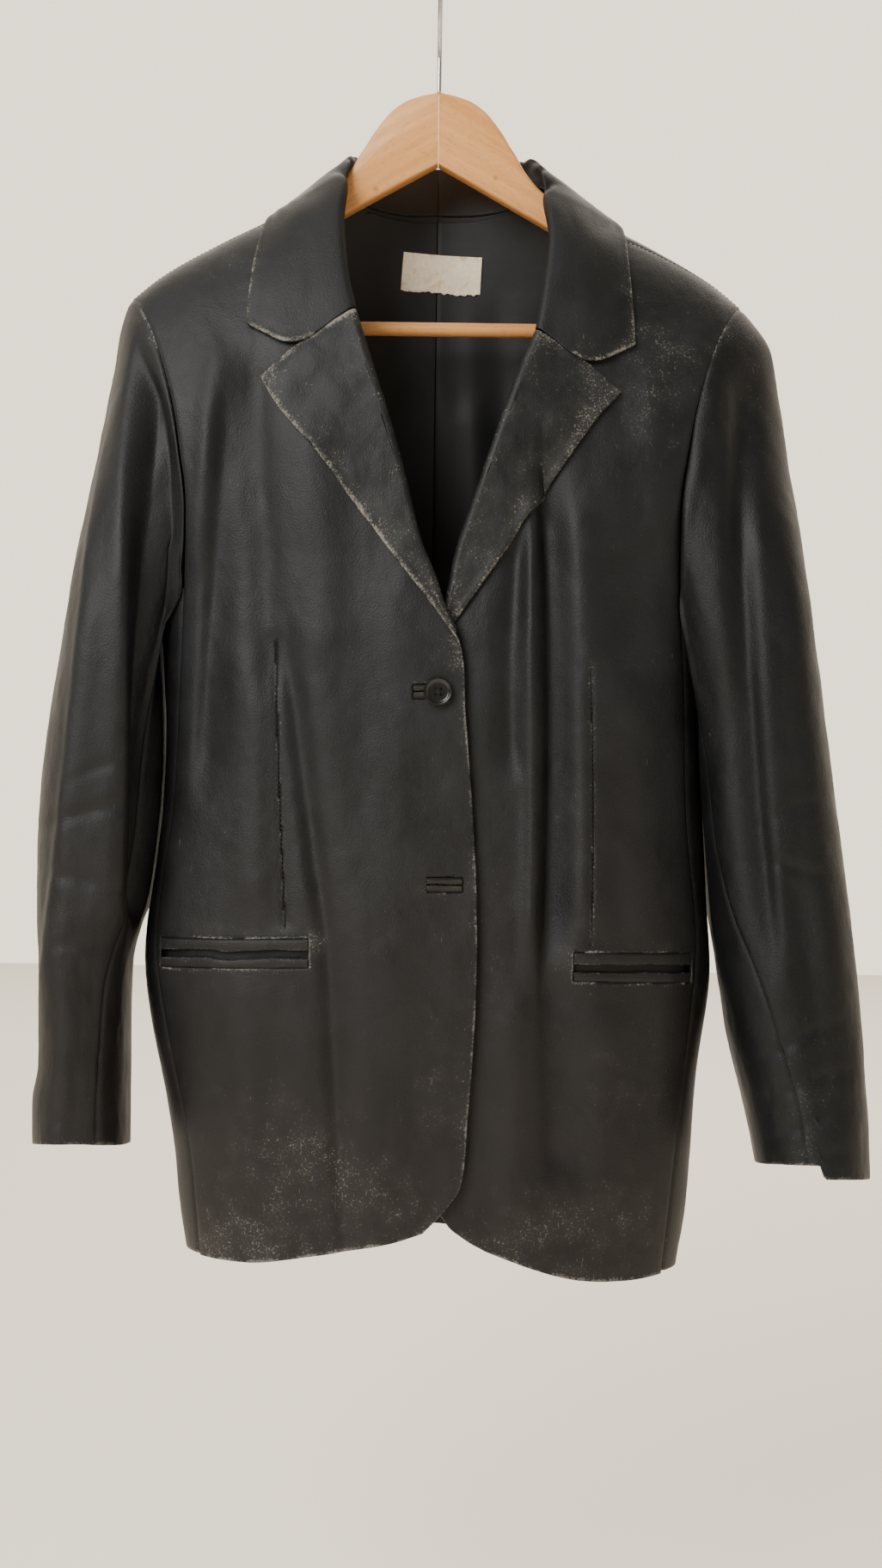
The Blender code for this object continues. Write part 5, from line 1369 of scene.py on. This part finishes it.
def stitch_tree():
    tree = bpy.data.node_groups.new("stitch_row", "GeometryNodeTree")
    face = tree.interface
    face.new_socket("Line", in_out="INPUT", socket_type="NodeSocketGeometry")
    for name, value in (("Pitch", 0.0032), ("Length", 0.0023), ("Thickness", 0.00028)):
        face.new_socket(name, in_out="INPUT", socket_type="NodeSocketFloat").default_value = value
    face.new_socket("Thread", in_out="INPUT", socket_type="NodeSocketMaterial")
    face.new_socket("Stitches", in_out="OUTPUT", socket_type="NodeSocketGeometry")
    given = add(tree, "NodeGroupInput")
    thickness = given.outputs["Thickness"]
    line = add(tree, "GeometryNodeMeshToCurve", {"Mesh": given.outputs["Line"]})
    spots = add(tree, "GeometryNodeResampleCurve",
                {"Curve": line.outputs["Curve"], "Length": given.outputs["Pitch"]},
                mode="LENGTH")
    along = add(tree, "GeometryNodeInputTangent")
    turned = add(tree, "FunctionNodeAlignRotationToVector", {"Vector": along.outputs["Tangent"]}, axis="Z")
    ball = add(tree, "GeometryNodeMeshUVSphere", {"Segments": 6, "Rings": 4, "Radius": 0.5})
    size = add(tree, "ShaderNodeCombineXYZ", {"X": thickness, "Y": thickness, "Z": given.outputs["Length"]})
    scale = add(tree, "ShaderNodeVectorMath", {0: size.outputs["Vector"], 1: (2.0, 2.0, 1.0)},
                operation="MULTIPLY")
    placed = add(tree, "GeometryNodeInstanceOnPoints", {
        "Points": spots.outputs["Curve"], "Instance": ball.outputs["Mesh"],
        "Rotation": turned.outputs["Rotation"], "Scale": scale.outputs["Vector"]})
    real = add(tree, "GeometryNodeRealizeInstances", {"Geometry": placed.outputs["Instances"]})
    painted = add(tree, "GeometryNodeSetMaterial",
                  {"Geometry": real.outputs["Geometry"], "Material": given.outputs["Thread"]})
    add(tree, "NodeGroupOutput", {"Stitches": painted.outputs["Geometry"]})
    return tree


STITCH_TREE = stitch_tree()


def stitch_row(name, lines, thread, pitch, length, thickness):
    """Stitches along lines of points, as one plain mesh."""
    mesh = bpy.data.meshes.new(name)
    corners, edges = [], []
    for line in lines:
        first = len(corners)
        corners += [tuple(spot * MM) for spot in line]
        edges += [(k, k + 1) for k in range(first, len(corners) - 1)]
    mesh.from_pydata(corners, edges, [])
    row = put(name, mesh)
    sewn = row.modifiers.new("stitches", "NODES")
    sewn.node_group = STITCH_TREE
    values = {"Pitch": pitch * MM, "Length": length * MM, "Thickness": thickness * MM, "Thread": thread}
    for item in STITCH_TREE.interface.items_tree:
        if item.in_out == "INPUT" and item.name in values:
            sewn[item.identifier] = values[item.name]
    bake(row)
    row.data.shade_smooth()
    return row


thread_black = bpy.data.materials.new("polyester_thread_black")     # its finish is set with the others
POCKET_ROW_LIFT = 2.2         # the row runs this far above a pocket's mouth
SHOULDER_ROW_DROP = 5.5       # and this far in front of the shoulder seam
ROWS = {}
for side, wearer in SIDES:
    z_line = dart_heights(side, 90)
    ROWS["dart_stitches_" + wearer] = [on_front(side, np.stack((dart_line[side](z_line), z_line), 1), 0.0)]
    x_in, x_out, low, high, fall = pocket_box(side)
    x_line = np.linspace(x_in + side, x_out + side * 3, 80)
    spots = np.stack((x_line, high + POCKET_ROW_LIFT + fall * np.abs(x_line - x_in)), 1)
    ROWS["pocket_stitches_" + wearer] = [on_front(side, spots, 0.1)]
    x_line = side * np.linspace(NECK_X[side] + 34, TIP_X - 4, 90)
    h_line = seam_h(side, x_line) - SHOULDER_ROW_DROP
    face = front_face(side)
    ROWS["shoulder_stitches_" + wearer] = [face(x_line, h_line) + normal_at(face, x_line, h_line) * 0.1]
for name, lines in ROWS.items():
    made = stitch_row(name, lines, thread_black, pitch=3.2, length=2.3, thickness=0.26)
    PIECES[made.name] = (made, [])
    print(name, len(made.data.polygons), "faces")

# %% [markdown]
# Leather is a hide with its grain on top: pebbles of about a millimetre, finer pores, and
# creases where it has folded. The black finish sits on the grain as a thin matt film, so wear
# takes it off the high spots first and shows the pale grey-tan hide. The two marks on the cloth
# say where; noise breaks them into specks, because even wear never looks real.

# %% Leather


def srgb(hex_colour):
    """An sRGB hex colour as linear numbers with alpha."""
    channels = [int(hex_colour[k:k + 2], 16) / 255 for k in (1, 3, 5)]
    return (*[c / 12.92 if c <= 0.04045 else ((c + 0.055) / 1.055) ** 2.4 for c in channels], 1.0)


def per_metre(size_mm):
    """A texture's scale for a pattern of this size in millimetres."""
    return 1000.0 / size_mm


def start_material(name):
    """A material, its node tree and its shader; the thread's has been started already."""
    made = bpy.data.materials.get(name) or bpy.data.materials.new(name)
    made.use_nodes = True
    tree = made.node_tree
    return made, tree, tree.nodes["Principled BSDF"]


def make_leather(name, upper, lower, pale, grain_depth=1.0):
    made, tree, shader = start_material(name)
    where = add(tree, "ShaderNodeTexCoord").outputs["Object"]
    height = add(tree, "ShaderNodeSeparateXYZ", {"Vector": where}).outputs["Z"]
    stretched = add(tree, "ShaderNodeMapping", {"Vector": where, "Scale": (1.0, 1.0, 0.45)}).outputs["Vector"]
    pebbles = add(tree, "ShaderNodeTexVoronoi",
                  {"Vector": where, "Scale": per_metre(1.25), "Randomness": 0.9},
                  feature="F1").outputs["Distance"]
    pores = add(tree, "ShaderNodeTexNoise",
                {"Vector": where, "Scale": per_metre(0.9), "Detail": 2.0}).outputs["Fac"]
    creases = add(tree, "ShaderNodeTexNoise", {"Vector": stretched, "Scale": per_metre(7.0), "Detail": 5.0,
                                               "Roughness": 0.62, "Distortion": 0.6}).outputs["Fac"]
    clouds = add(tree, "ShaderNodeTexNoise",
                 {"Vector": where, "Scale": per_metre(38.0), "Detail": 4.0}).outputs["Fac"]
    specks = add(tree, "ShaderNodeTexNoise", {"Vector": where, "Scale": per_metre(1.5), "Detail": 3.0,
                                              "Roughness": 0.7}).outputs["Fac"]
    # The dye is cool and dark above and browner toward the hem, with soft clouds in it.
    low = add(tree, "ShaderNodeMapRange", {"Value": height, "From Min": -0.50, "From Max": -0.86})
    dye = add(tree, "ShaderNodeMix", {"Factor": low.outputs["Result"], 6: srgb(upper), 7: srgb(lower)},
              data_type="RGBA")
    lighter = add(tree, "ShaderNodeMapRange",
                  {"Value": clouds, "From Min": 0.35, "From Max": 0.7, "To Min": 0.78,
                   "To Max": 1.28}).outputs["Result"]
    cloudy = add(tree, "ShaderNodeVectorMath", {0: dye.outputs[2], "Scale": lighter},
                 operation="SCALE").outputs["Vector"]
    # Rubbed edges: the mark, thinned in patches and broken into specks.
    rubbed = add(tree, "ShaderNodeAttribute", attribute_name="rubbed").outputs["Fac"]
    scuffed = add(tree, "ShaderNodeAttribute", attribute_name="scuffed").outputs["Fac"]
    patches = add(tree, "ShaderNodeTexNoise",
                  {"Vector": where, "Scale": per_metre(15.0), "Detail": 3.0}).outputs["Fac"]
    kept = add(tree, "ShaderNodeMapRange",
               {"Value": patches, "From Min": 0.36, "From Max": 0.62, "To Min": 0.42,
                "To Max": 1.2}).outputs["Result"]
    torn = add(tree, "ShaderNodeMath", {0: specks, 1: 2.4, 2: -1.28},
               operation="MULTIPLY_ADD").outputs["Value"]
    rub_sum = add(tree, "ShaderNodeMath", {0: rubbed, 1: kept, 2: torn},
                  operation="MULTIPLY_ADD").outputs["Value"]
    rub_mask = add(tree, "ShaderNodeMapRange",
                   {"Value": rub_sum, "From Min": 0.25, "From Max": 1.0, "To Max": 0.55},
                   interpolation_type="SMOOTHSTEP").outputs["Result"]
    # Scuffs: specks that pass a threshold which falls as the mark rises, and a dry haze round them.
    uneven_scuff = add(tree, "ShaderNodeMath", {0: patches, 1: 1.6, 2: -0.8},
                       operation="MULTIPLY_ADD").outputs["Value"]
    scuff_level = add(tree, "ShaderNodeMath", {0: scuffed, 1: uneven_scuff}, operation="ADD").outputs["Value"]
    threshold = add(tree, "ShaderNodeMapRange",
                    {"Value": scuff_level, "From Min": 0.0, "From Max": 1.0, "To Min": 0.72,
                     "To Max": 0.545}).outputs["Result"]
    over = add(tree, "ShaderNodeMath", {0: specks, 1: threshold}, operation="SUBTRACT").outputs["Value"]
    speck_mask = add(tree, "ShaderNodeMapRange",
                     {"Value": over, "From Min": 0.0, "From Max": 0.13, "To Max": 0.5}).outputs["Result"]
    haze = add(tree, "ShaderNodeMapRange",
               {"Value": scuff_level, "From Min": 0.3, "From Max": 1.3, "To Max": 0.05}).outputs["Result"]
    # Fine scratches, drawn by a noise pulled long in a slanted direction.
    slanted = add(tree, "ShaderNodeMapping",
                  {"Vector": where, "Rotation": (0.3, 0.5, 0.2), "Scale": (1.0, 1.0, 0.07)})
    lines = add(tree, "ShaderNodeTexNoise",
                {"Vector": slanted.outputs["Vector"], "Scale": per_metre(1.0), "Detail": 1.0})
    line_sum = add(tree, "ShaderNodeMath", {0: scuff_level, 1: 0.10, 2: lines.outputs["Fac"]},
                   operation="MULTIPLY_ADD").outputs["Value"]
    line_mask = add(tree, "ShaderNodeMapRange",
                    {"Value": line_sum, "From Min": 0.80, "From Max": 0.86, "To Max": 0.3}).outputs["Result"]
    scuff_mask = add(tree, "ShaderNodeMath", {0: speck_mask, 1: line_mask},
                     operation="MAXIMUM").outputs["Value"]
    scuff_mask = add(tree, "ShaderNodeMath", {0: scuff_mask, 1: haze}, operation="ADD").outputs["Value"]
    worn = add(tree, "ShaderNodeMath", {0: rub_mask, 1: scuff_mask}, operation="MAXIMUM").outputs["Value"]
    coloured = add(tree, "ShaderNodeMix", {"Factor": worn, 6: cloudy, 7: srgb(pale)},
                   data_type="RGBA").outputs[2]
    tree.links.new(coloured, shader.inputs["Base Color"])
    rough = add(tree, "ShaderNodeMapRange", {"Value": worn, "To Min": 0.54, "To Max": 0.88}).outputs["Result"]
    rough_cloud = add(tree, "ShaderNodeMath", {0: clouds, 1: 0.24, 2: rough},
                      operation="MULTIPLY_ADD").outputs["Value"]
    rough_even = add(tree, "ShaderNodeMath", {0: rough_cloud, 1: -0.12}, operation="ADD").outputs["Value"]
    tree.links.new(rough_even, shader.inputs["Roughness"])
    shader.inputs["IOR"].default_value = 1.45
    shader.inputs["Specular IOR Level"].default_value = 0.34      # a dry, unpolished finish
    # Relief: creases first, then the pebbles and pores of the grain.
    relief = add(tree, "ShaderNodeBump", {"Height": creases, "Strength": 0.22, "Distance": 0.001})
    relief = add(tree, "ShaderNodeBump", {"Height": pebbles, "Strength": 0.38 * grain_depth,
                                          "Distance": 0.0004,
                                          "Normal": relief.outputs["Normal"]}, invert=True)
    relief = add(tree, "ShaderNodeBump", {"Height": pores, "Strength": 0.18 * grain_depth, "Distance": 0.0002,
                                          "Normal": relief.outputs["Normal"]})
    tree.links.new(relief.outputs["Normal"], shader.inputs["Normal"])
    return made


leather_body = make_leather("cowhide_worn_black", "#161719", "#181615", "#8d8b86")
# The viewer's right sleeve gets worn leather darker than the body's, for the shade it turns into away from
# the window: painted shade.
leather_sleeve_painted_shade = make_leather("cowhide_worn_sleeve", "#0b0c0e", "#0b0d0f", "#85847f")
leather_collar = make_leather("cowhide_rubbed_collar", "#131415", "#151514", "#9c988f", 0.8)
leather_lip = make_leather("cowhide_buttonhole_lip", "#1f1f19", "#21201a", "#7d7a68", 0.8)
# The pocket facing, seen only through the pocket's mouth, is given a colour darker than the coat's leather:
# painted shade in the pocket.
leather_facing_painted_shade = make_leather("cowhide_pocket_inside", "#0b0b0c", "#0b0b0c", "#2a2825", 0.8)
print("leathers:", leather_body.name, leather_collar.name, leather_facing_painted_shade.name)

# %% [markdown]
# The other finishes: satin lining with a fine twill that shines along its threads, the label's
# stained plain weave, beech under a clear varnish with its short flecks, bright plated wire,
# and the horn-like plastic of the buttons.

# %% Lining, label, beech, wire, button and thread
WAVE_BANDS = 20 / math.tau      # a wave texture has this many bands in one unit at a scale of 1


def make_satin():
    made, tree, shader = start_material("acetate_satin_black")
    where = add(tree, "ShaderNodeTexCoord").outputs["Object"]
    # Threads 0.25 mm apart are too fine for the picture, so the twill is drawn at about 1.2 mm.
    slanted = add(tree, "ShaderNodeMapping",
                  {"Vector": where, "Rotation": (0, math.radians(63), 0)}).outputs["Vector"]
    twill = add(tree, "ShaderNodeTexWave",
                {"Vector": slanted, "Scale": per_metre(1.18) / WAVE_BANDS, "Distortion": 0.3,
                 "Detail": 1.0}, bands_direction="X").outputs["Fac"]
    clouds = add(tree, "ShaderNodeTexNoise",
                 {"Vector": where, "Scale": per_metre(30), "Detail": 4.0}).outputs["Fac"]
    # The satin is black, and both its tones are set darker still for the shade the hanger casts at the neck:
    # its own colour with painted shade in it.
    shade = add(tree, "ShaderNodeMix", {"Factor": clouds, 6: srgb("#0b0c0d"), 7: srgb("#151618")},
                data_type="RGBA")
    tree.links.new(shade.outputs[2], shader.inputs["Base Color"])
    rough = add(tree, "ShaderNodeMapRange",
                {"Value": twill, "To Min": 0.42, "To Max": 0.56}).outputs["Result"]
    tree.links.new(rough, shader.inputs["Roughness"])
    shader.inputs["Specular IOR Level"].default_value = 0.3
    soft = add(tree, "ShaderNodeBump", {"Height": clouds, "Strength": 0.3, "Distance": 0.002})
    relief = add(tree, "ShaderNodeBump", {"Height": twill, "Strength": 0.12, "Distance": 0.0001,
                                          "Normal": soft.outputs["Normal"]})
    tree.links.new(relief.outputs["Normal"], shader.inputs["Normal"])
    return made


def make_label_cloth():
    made, tree, shader = start_material("woven_label_cotton")
    where = add(tree, "ShaderNodeTexCoord").outputs["Object"]
    # Its threads are finer than the picture shows too, so the weave is drawn at about 1.4 mm.
    warp = add(tree, "ShaderNodeTexWave",
               {"Vector": where, "Scale": per_metre(1.38) / WAVE_BANDS, "Distortion": 0.8,
                "Detail": 2.0}, bands_direction="X").outputs["Fac"]
    weft = add(tree, "ShaderNodeTexWave",
               {"Vector": where, "Scale": per_metre(1.38) / WAVE_BANDS, "Distortion": 0.8,
                "Detail": 2.0}, bands_direction="Z").outputs["Fac"]
    weave = add(tree, "ShaderNodeMath", {0: warp, 1: weft}, operation="MULTIPLY").outputs["Value"]
    stains = add(tree, "ShaderNodeTexNoise", {"Vector": where, "Scale": per_metre(13), "Detail": 5.0,
                                              "Distortion": 0.8}).outputs["Fac"]
    spots = add(tree, "ShaderNodeTexNoise",
                {"Vector": where, "Scale": per_metre(3.2), "Detail": 3.0}).outputs["Fac"]
    stain = add(tree, "ShaderNodeMapRange",
                {"Value": stains, "From Min": 0.5, "From Max": 0.68, "To Max": 0.75},
                interpolation_type="SMOOTHSTEP").outputs["Result"]
    base = add(tree, "ShaderNodeMix", {"Factor": stain, 6: srgb("#e9dcc3"), 7: srgb("#c9a878")},
               data_type="RGBA")
    dirt = add(tree, "ShaderNodeMapRange",
               {"Value": spots, "From Min": 0.3, "From Max": 0.7, "To Min": 0.88, "To Max": 1.06})
    shade = add(tree, "ShaderNodeVectorMath", {0: base.outputs[2], "Scale": dirt.outputs["Result"]},
                operation="SCALE")
    tree.links.new(shade.outputs["Vector"], shader.inputs["Base Color"])
    shader.inputs["Roughness"].default_value = 0.86
    relief = add(tree, "ShaderNodeBump", {"Height": weave, "Strength": 0.3, "Distance": 0.0002})
    tree.links.new(relief.outputs["Normal"], shader.inputs["Normal"])
    return made


KNOTS = [(-44, -165, 1.9), (41, -156, 1.5)]      # small knots, as x, z and size in mm


def make_beech(name, along, light, dark):
    """Beech: fine pores and short flecks along the grain, under a thin clear coat."""
    made, tree, shader = start_material(name)
    where = add(tree, "ShaderNodeTexCoord").outputs["Object"]
    turned = add(tree, "ShaderNodeMapping", {"Vector": where, "Rotation": (0, along, 0)}).outputs["Vector"]
    drawn = add(tree, "ShaderNodeMapping", {"Vector": turned, "Scale": (0.05, 1.0, 1.0)}).outputs["Vector"]
    rings = add(tree, "ShaderNodeTexNoise", {"Vector": drawn, "Scale": per_metre(7), "Detail": 4.0,
                                             "Distortion": 0.4}).outputs["Fac"]
    short = add(tree, "ShaderNodeMapping", {"Vector": turned, "Scale": (0.22, 1.0, 1.0)}).outputs["Vector"]
    flecks = add(tree, "ShaderNodeTexNoise",
                 {"Vector": short, "Scale": per_metre(1.1), "Detail": 2.0}).outputs["Fac"]
    tone = add(tree, "ShaderNodeMapRange",
               {"Value": rings, "From Min": 0.3, "From Max": 0.7}).outputs["Result"]
    base = add(tree, "ShaderNodeMix", {"Factor": tone, 6: srgb(light), 7: srgb(dark)}, data_type="RGBA")
    fleck = add(tree, "ShaderNodeMapRange",
                {"Value": flecks, "From Min": 0.56, "From Max": 0.72, "To Min": 1.0, "To Max": 0.80})
    shade = add(tree, "ShaderNodeVectorMath", {0: base.outputs[2], "Scale": fleck.outputs["Result"]},
                operation="SCALE")
    knots = shade.outputs["Vector"]
    for kx, kz, size in KNOTS:
        away = add(tree, "ShaderNodeVectorMath", {0: where, 1: (kx * MM, -0.007, kz * MM)},
                   operation="DISTANCE")
        spot = add(tree, "ShaderNodeMapRange", {"Value": away.outputs["Value"], "From Min": size * MM * 1.6,
                                                "From Max": size * MM * 0.3, "To Max": 0.6}).outputs["Result"]
        knots = add(tree, "ShaderNodeMix", {"Factor": spot, 6: knots, 7: srgb("#8a5a34")},
                    data_type="RGBA").outputs[2]
    tree.links.new(knots, shader.inputs["Base Color"])
    shader.inputs["Roughness"].default_value = 0.42
    shader.inputs["Coat Weight"].default_value = 0.15
    shader.inputs["Coat Roughness"].default_value = 0.3
    relief = add(tree, "ShaderNodeBump", {"Height": flecks, "Strength": 0.12, "Distance": 0.0002})
    tree.links.new(relief.outputs["Normal"], shader.inputs["Normal"])
    return made


def make_plain(name, colour, roughness, metallic=0.0, spot_size=2.0, depth=0.05, coat=0.0):
    """A nearly even finish with a little unevenness in its gloss."""
    made, tree, shader = start_material(name)
    where = add(tree, "ShaderNodeTexCoord").outputs["Object"]
    marks = add(tree, "ShaderNodeTexNoise",
                {"Vector": where, "Scale": per_metre(spot_size), "Detail": 3.0}).outputs["Fac"]
    rough = add(tree, "ShaderNodeMapRange",
                {"Value": marks, "To Min": roughness * 0.8, "To Max": roughness * 1.2})
    tree.links.new(rough.outputs["Result"], shader.inputs["Roughness"])
    shade = add(tree, "ShaderNodeMapRange",
                {"Value": marks, "To Min": 0.85, "To Max": 1.15}).outputs["Result"]
    tinted = add(tree, "ShaderNodeVectorMath", {0: srgb(colour)[:3], "Scale": shade}, operation="SCALE")
    tree.links.new(tinted.outputs["Vector"], shader.inputs["Base Color"])
    shader.inputs["Metallic"].default_value = metallic
    shader.inputs["Coat Weight"].default_value = coat
    relief = add(tree, "ShaderNodeBump", {"Height": marks, "Strength": depth, "Distance": 0.0002})
    tree.links.new(relief.outputs["Normal"], shader.inputs["Normal"])
    return made


satin = make_satin()
label_cotton = make_label_cloth()
slope = math.atan(ARM_SLOPE)
beech = {"right": make_beech("beech_arm_right", slope, "#e3a560", "#d08d4a"),
         "left": make_beech("beech_arm_left", -slope, "#e3a560", "#d08d4a"),
         "bar": make_beech("beech_bar", 0.0, "#e0a05c", "#c98546")}
wire = make_plain("nickel_plated_wire", "#c3c4c6", 0.22, 1.0)
horn = make_plain("horn_like_plastic_black", "#0b0b0c", 0.26)
make_plain("polyester_thread_black", "#101010", 0.6, spot_size=0.8)
print("finishes:", satin.name, label_cotton.name, wire.name, horn.name)

# %% [markdown]
# Every piece gets its finish and the one body of this part, which the hanger's hook carries, and
# the imported solids it stands for are hidden. The size each sheet of cloth was cut at is printed.

# %% Finish every piece and name what carries it
FINISHES = [          # a word of the piece's name, and its finish
    # the pocket facing takes the leather darkened as painted shade
    ("collar", leather_collar), ("lapel", leather_collar), ("facing", leather_facing_painted_shade),
    # the viewer's right sleeve takes the worn leather darkened as painted shade
    ("_lip_", leather_lip), ("sleeve_upper_left", leather_sleeve_painted_shade), ("sleeve_under_left", leather_sleeve_painted_shade),
    ("satin", satin), ("label", label_cotton), ("arm_right", beech["right"]), ("arm_left", beech["left"]),
    ("bar_", beech["bar"]), ("wire", wire), ("horn", horn), ("thread", thread_black),
    ("stitches", thread_black),
]


def finish_of(name):
    return next((finish for word, finish in FINISHES if word in name), leather_body)


for name, (piece, nodes) in PIECES.items():
    piece.data.materials.clear()
    piece.data.materials.append(finish_of(name))
    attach(piece, "root")
    if nodes:
        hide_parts(*nodes)
    elif "button" in name:
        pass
    else:
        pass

for name, (width, length, area) in CLOTH.items():
    piece = PIECES[name][0]
    print("%-34s %4.0f x %4.0f mm, %6.1f cm2" % (name, width * 1000, length * 1000, area * 1e4))

# %% [markdown]
# The photograph was lit by a soft, wide window light from the upper left and a pale room all
# round, so large area lights and a pale sky do the same here, over a plain pale floor.

# %% Floor, sky and lights
FLOOR_Z, FLOOR_HALF = -1.25, 6
COAT_MIDDLE = (0, 0, -0.5)

floor_mesh = bpy.data.meshes.new("floor")
floor_corners = [(x * FLOOR_HALF, y * FLOOR_HALF, FLOOR_Z) for x, y in ((-1, -1), (1, -1), (1, 1), (-1, 1))]
floor_mesh.from_pydata(floor_corners, [], [(0, 1, 2, 3)])
floor = put("floor", floor_mesh)
floor_paint, _, floor_shader = start_material("matt_floor_paint")
floor_shader.inputs["Base Color"].default_value = srgb("#f0eadf")
floor_shader.inputs["Roughness"].default_value = 0.8
floor_mesh.materials.append(floor_paint)

sky = bpy.data.worlds.new("pale_room")
bpy.context.scene.world = sky
sky.use_nodes = True
sky_tree = sky.node_tree
# The wall behind the coat is the room's brightest side, as in the photograph.
way_out = add(sky_tree, "ShaderNodeTexCoord").outputs["Generated"]
toward_wall = add(sky_tree, "ShaderNodeSeparateXYZ", {"Vector": way_out})
brightness = add(sky_tree, "ShaderNodeMapRange",
                 {"Value": toward_wall.outputs["Y"], "From Min": -0.2, "From Max": 0.7,
                  "To Min": 0.4, "To Max": 2.4},
                 interpolation_type="SMOOTHSTEP")
sky_tree.nodes["Background"].inputs["Color"].default_value = srgb("#f0e2cd")
sky_tree.links.new(brightness.outputs["Result"], sky_tree.nodes["Background"].inputs["Strength"])


def soft_light(name, place, target, width, height, watts, colour):
    lamp = bpy.data.lights.new(name, "AREA")
    lamp.shape, lamp.size, lamp.size_y = "RECTANGLE", width, height
    lamp.energy, lamp.color = watts, srgb(colour)[:3]
    holder = bpy.data.objects.new(name, lamp)
    holder.location = place
    holder.rotation_euler = (Vector(target) - Vector(place)).to_track_quat("-Z", "Y").to_euler()
    bpy.context.scene.collection.objects.link(holder)


soft_light("window", (-1.4, -2.0, 0.8), COAT_MIDDLE, 1.6, 1.6, 98, "#fbfaf9")
soft_light("room_right", (2.1, -1.3, -0.2), COAT_MIDDLE, 0.7, 1.6, 4, "#fbf8f4")
soft_light("room_behind", (0.3, 3.2, 2.6), (0, 3.0, FLOOR_Z), 5.0, 5.0, 230, "#fff8ee")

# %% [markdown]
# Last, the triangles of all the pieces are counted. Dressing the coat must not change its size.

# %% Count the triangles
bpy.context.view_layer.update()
polygons = [face for piece, _ in PIECES.values() for face in piece.data.polygons]
print("triangles:", sum(len(face.vertices) - 2 for face in polygons))
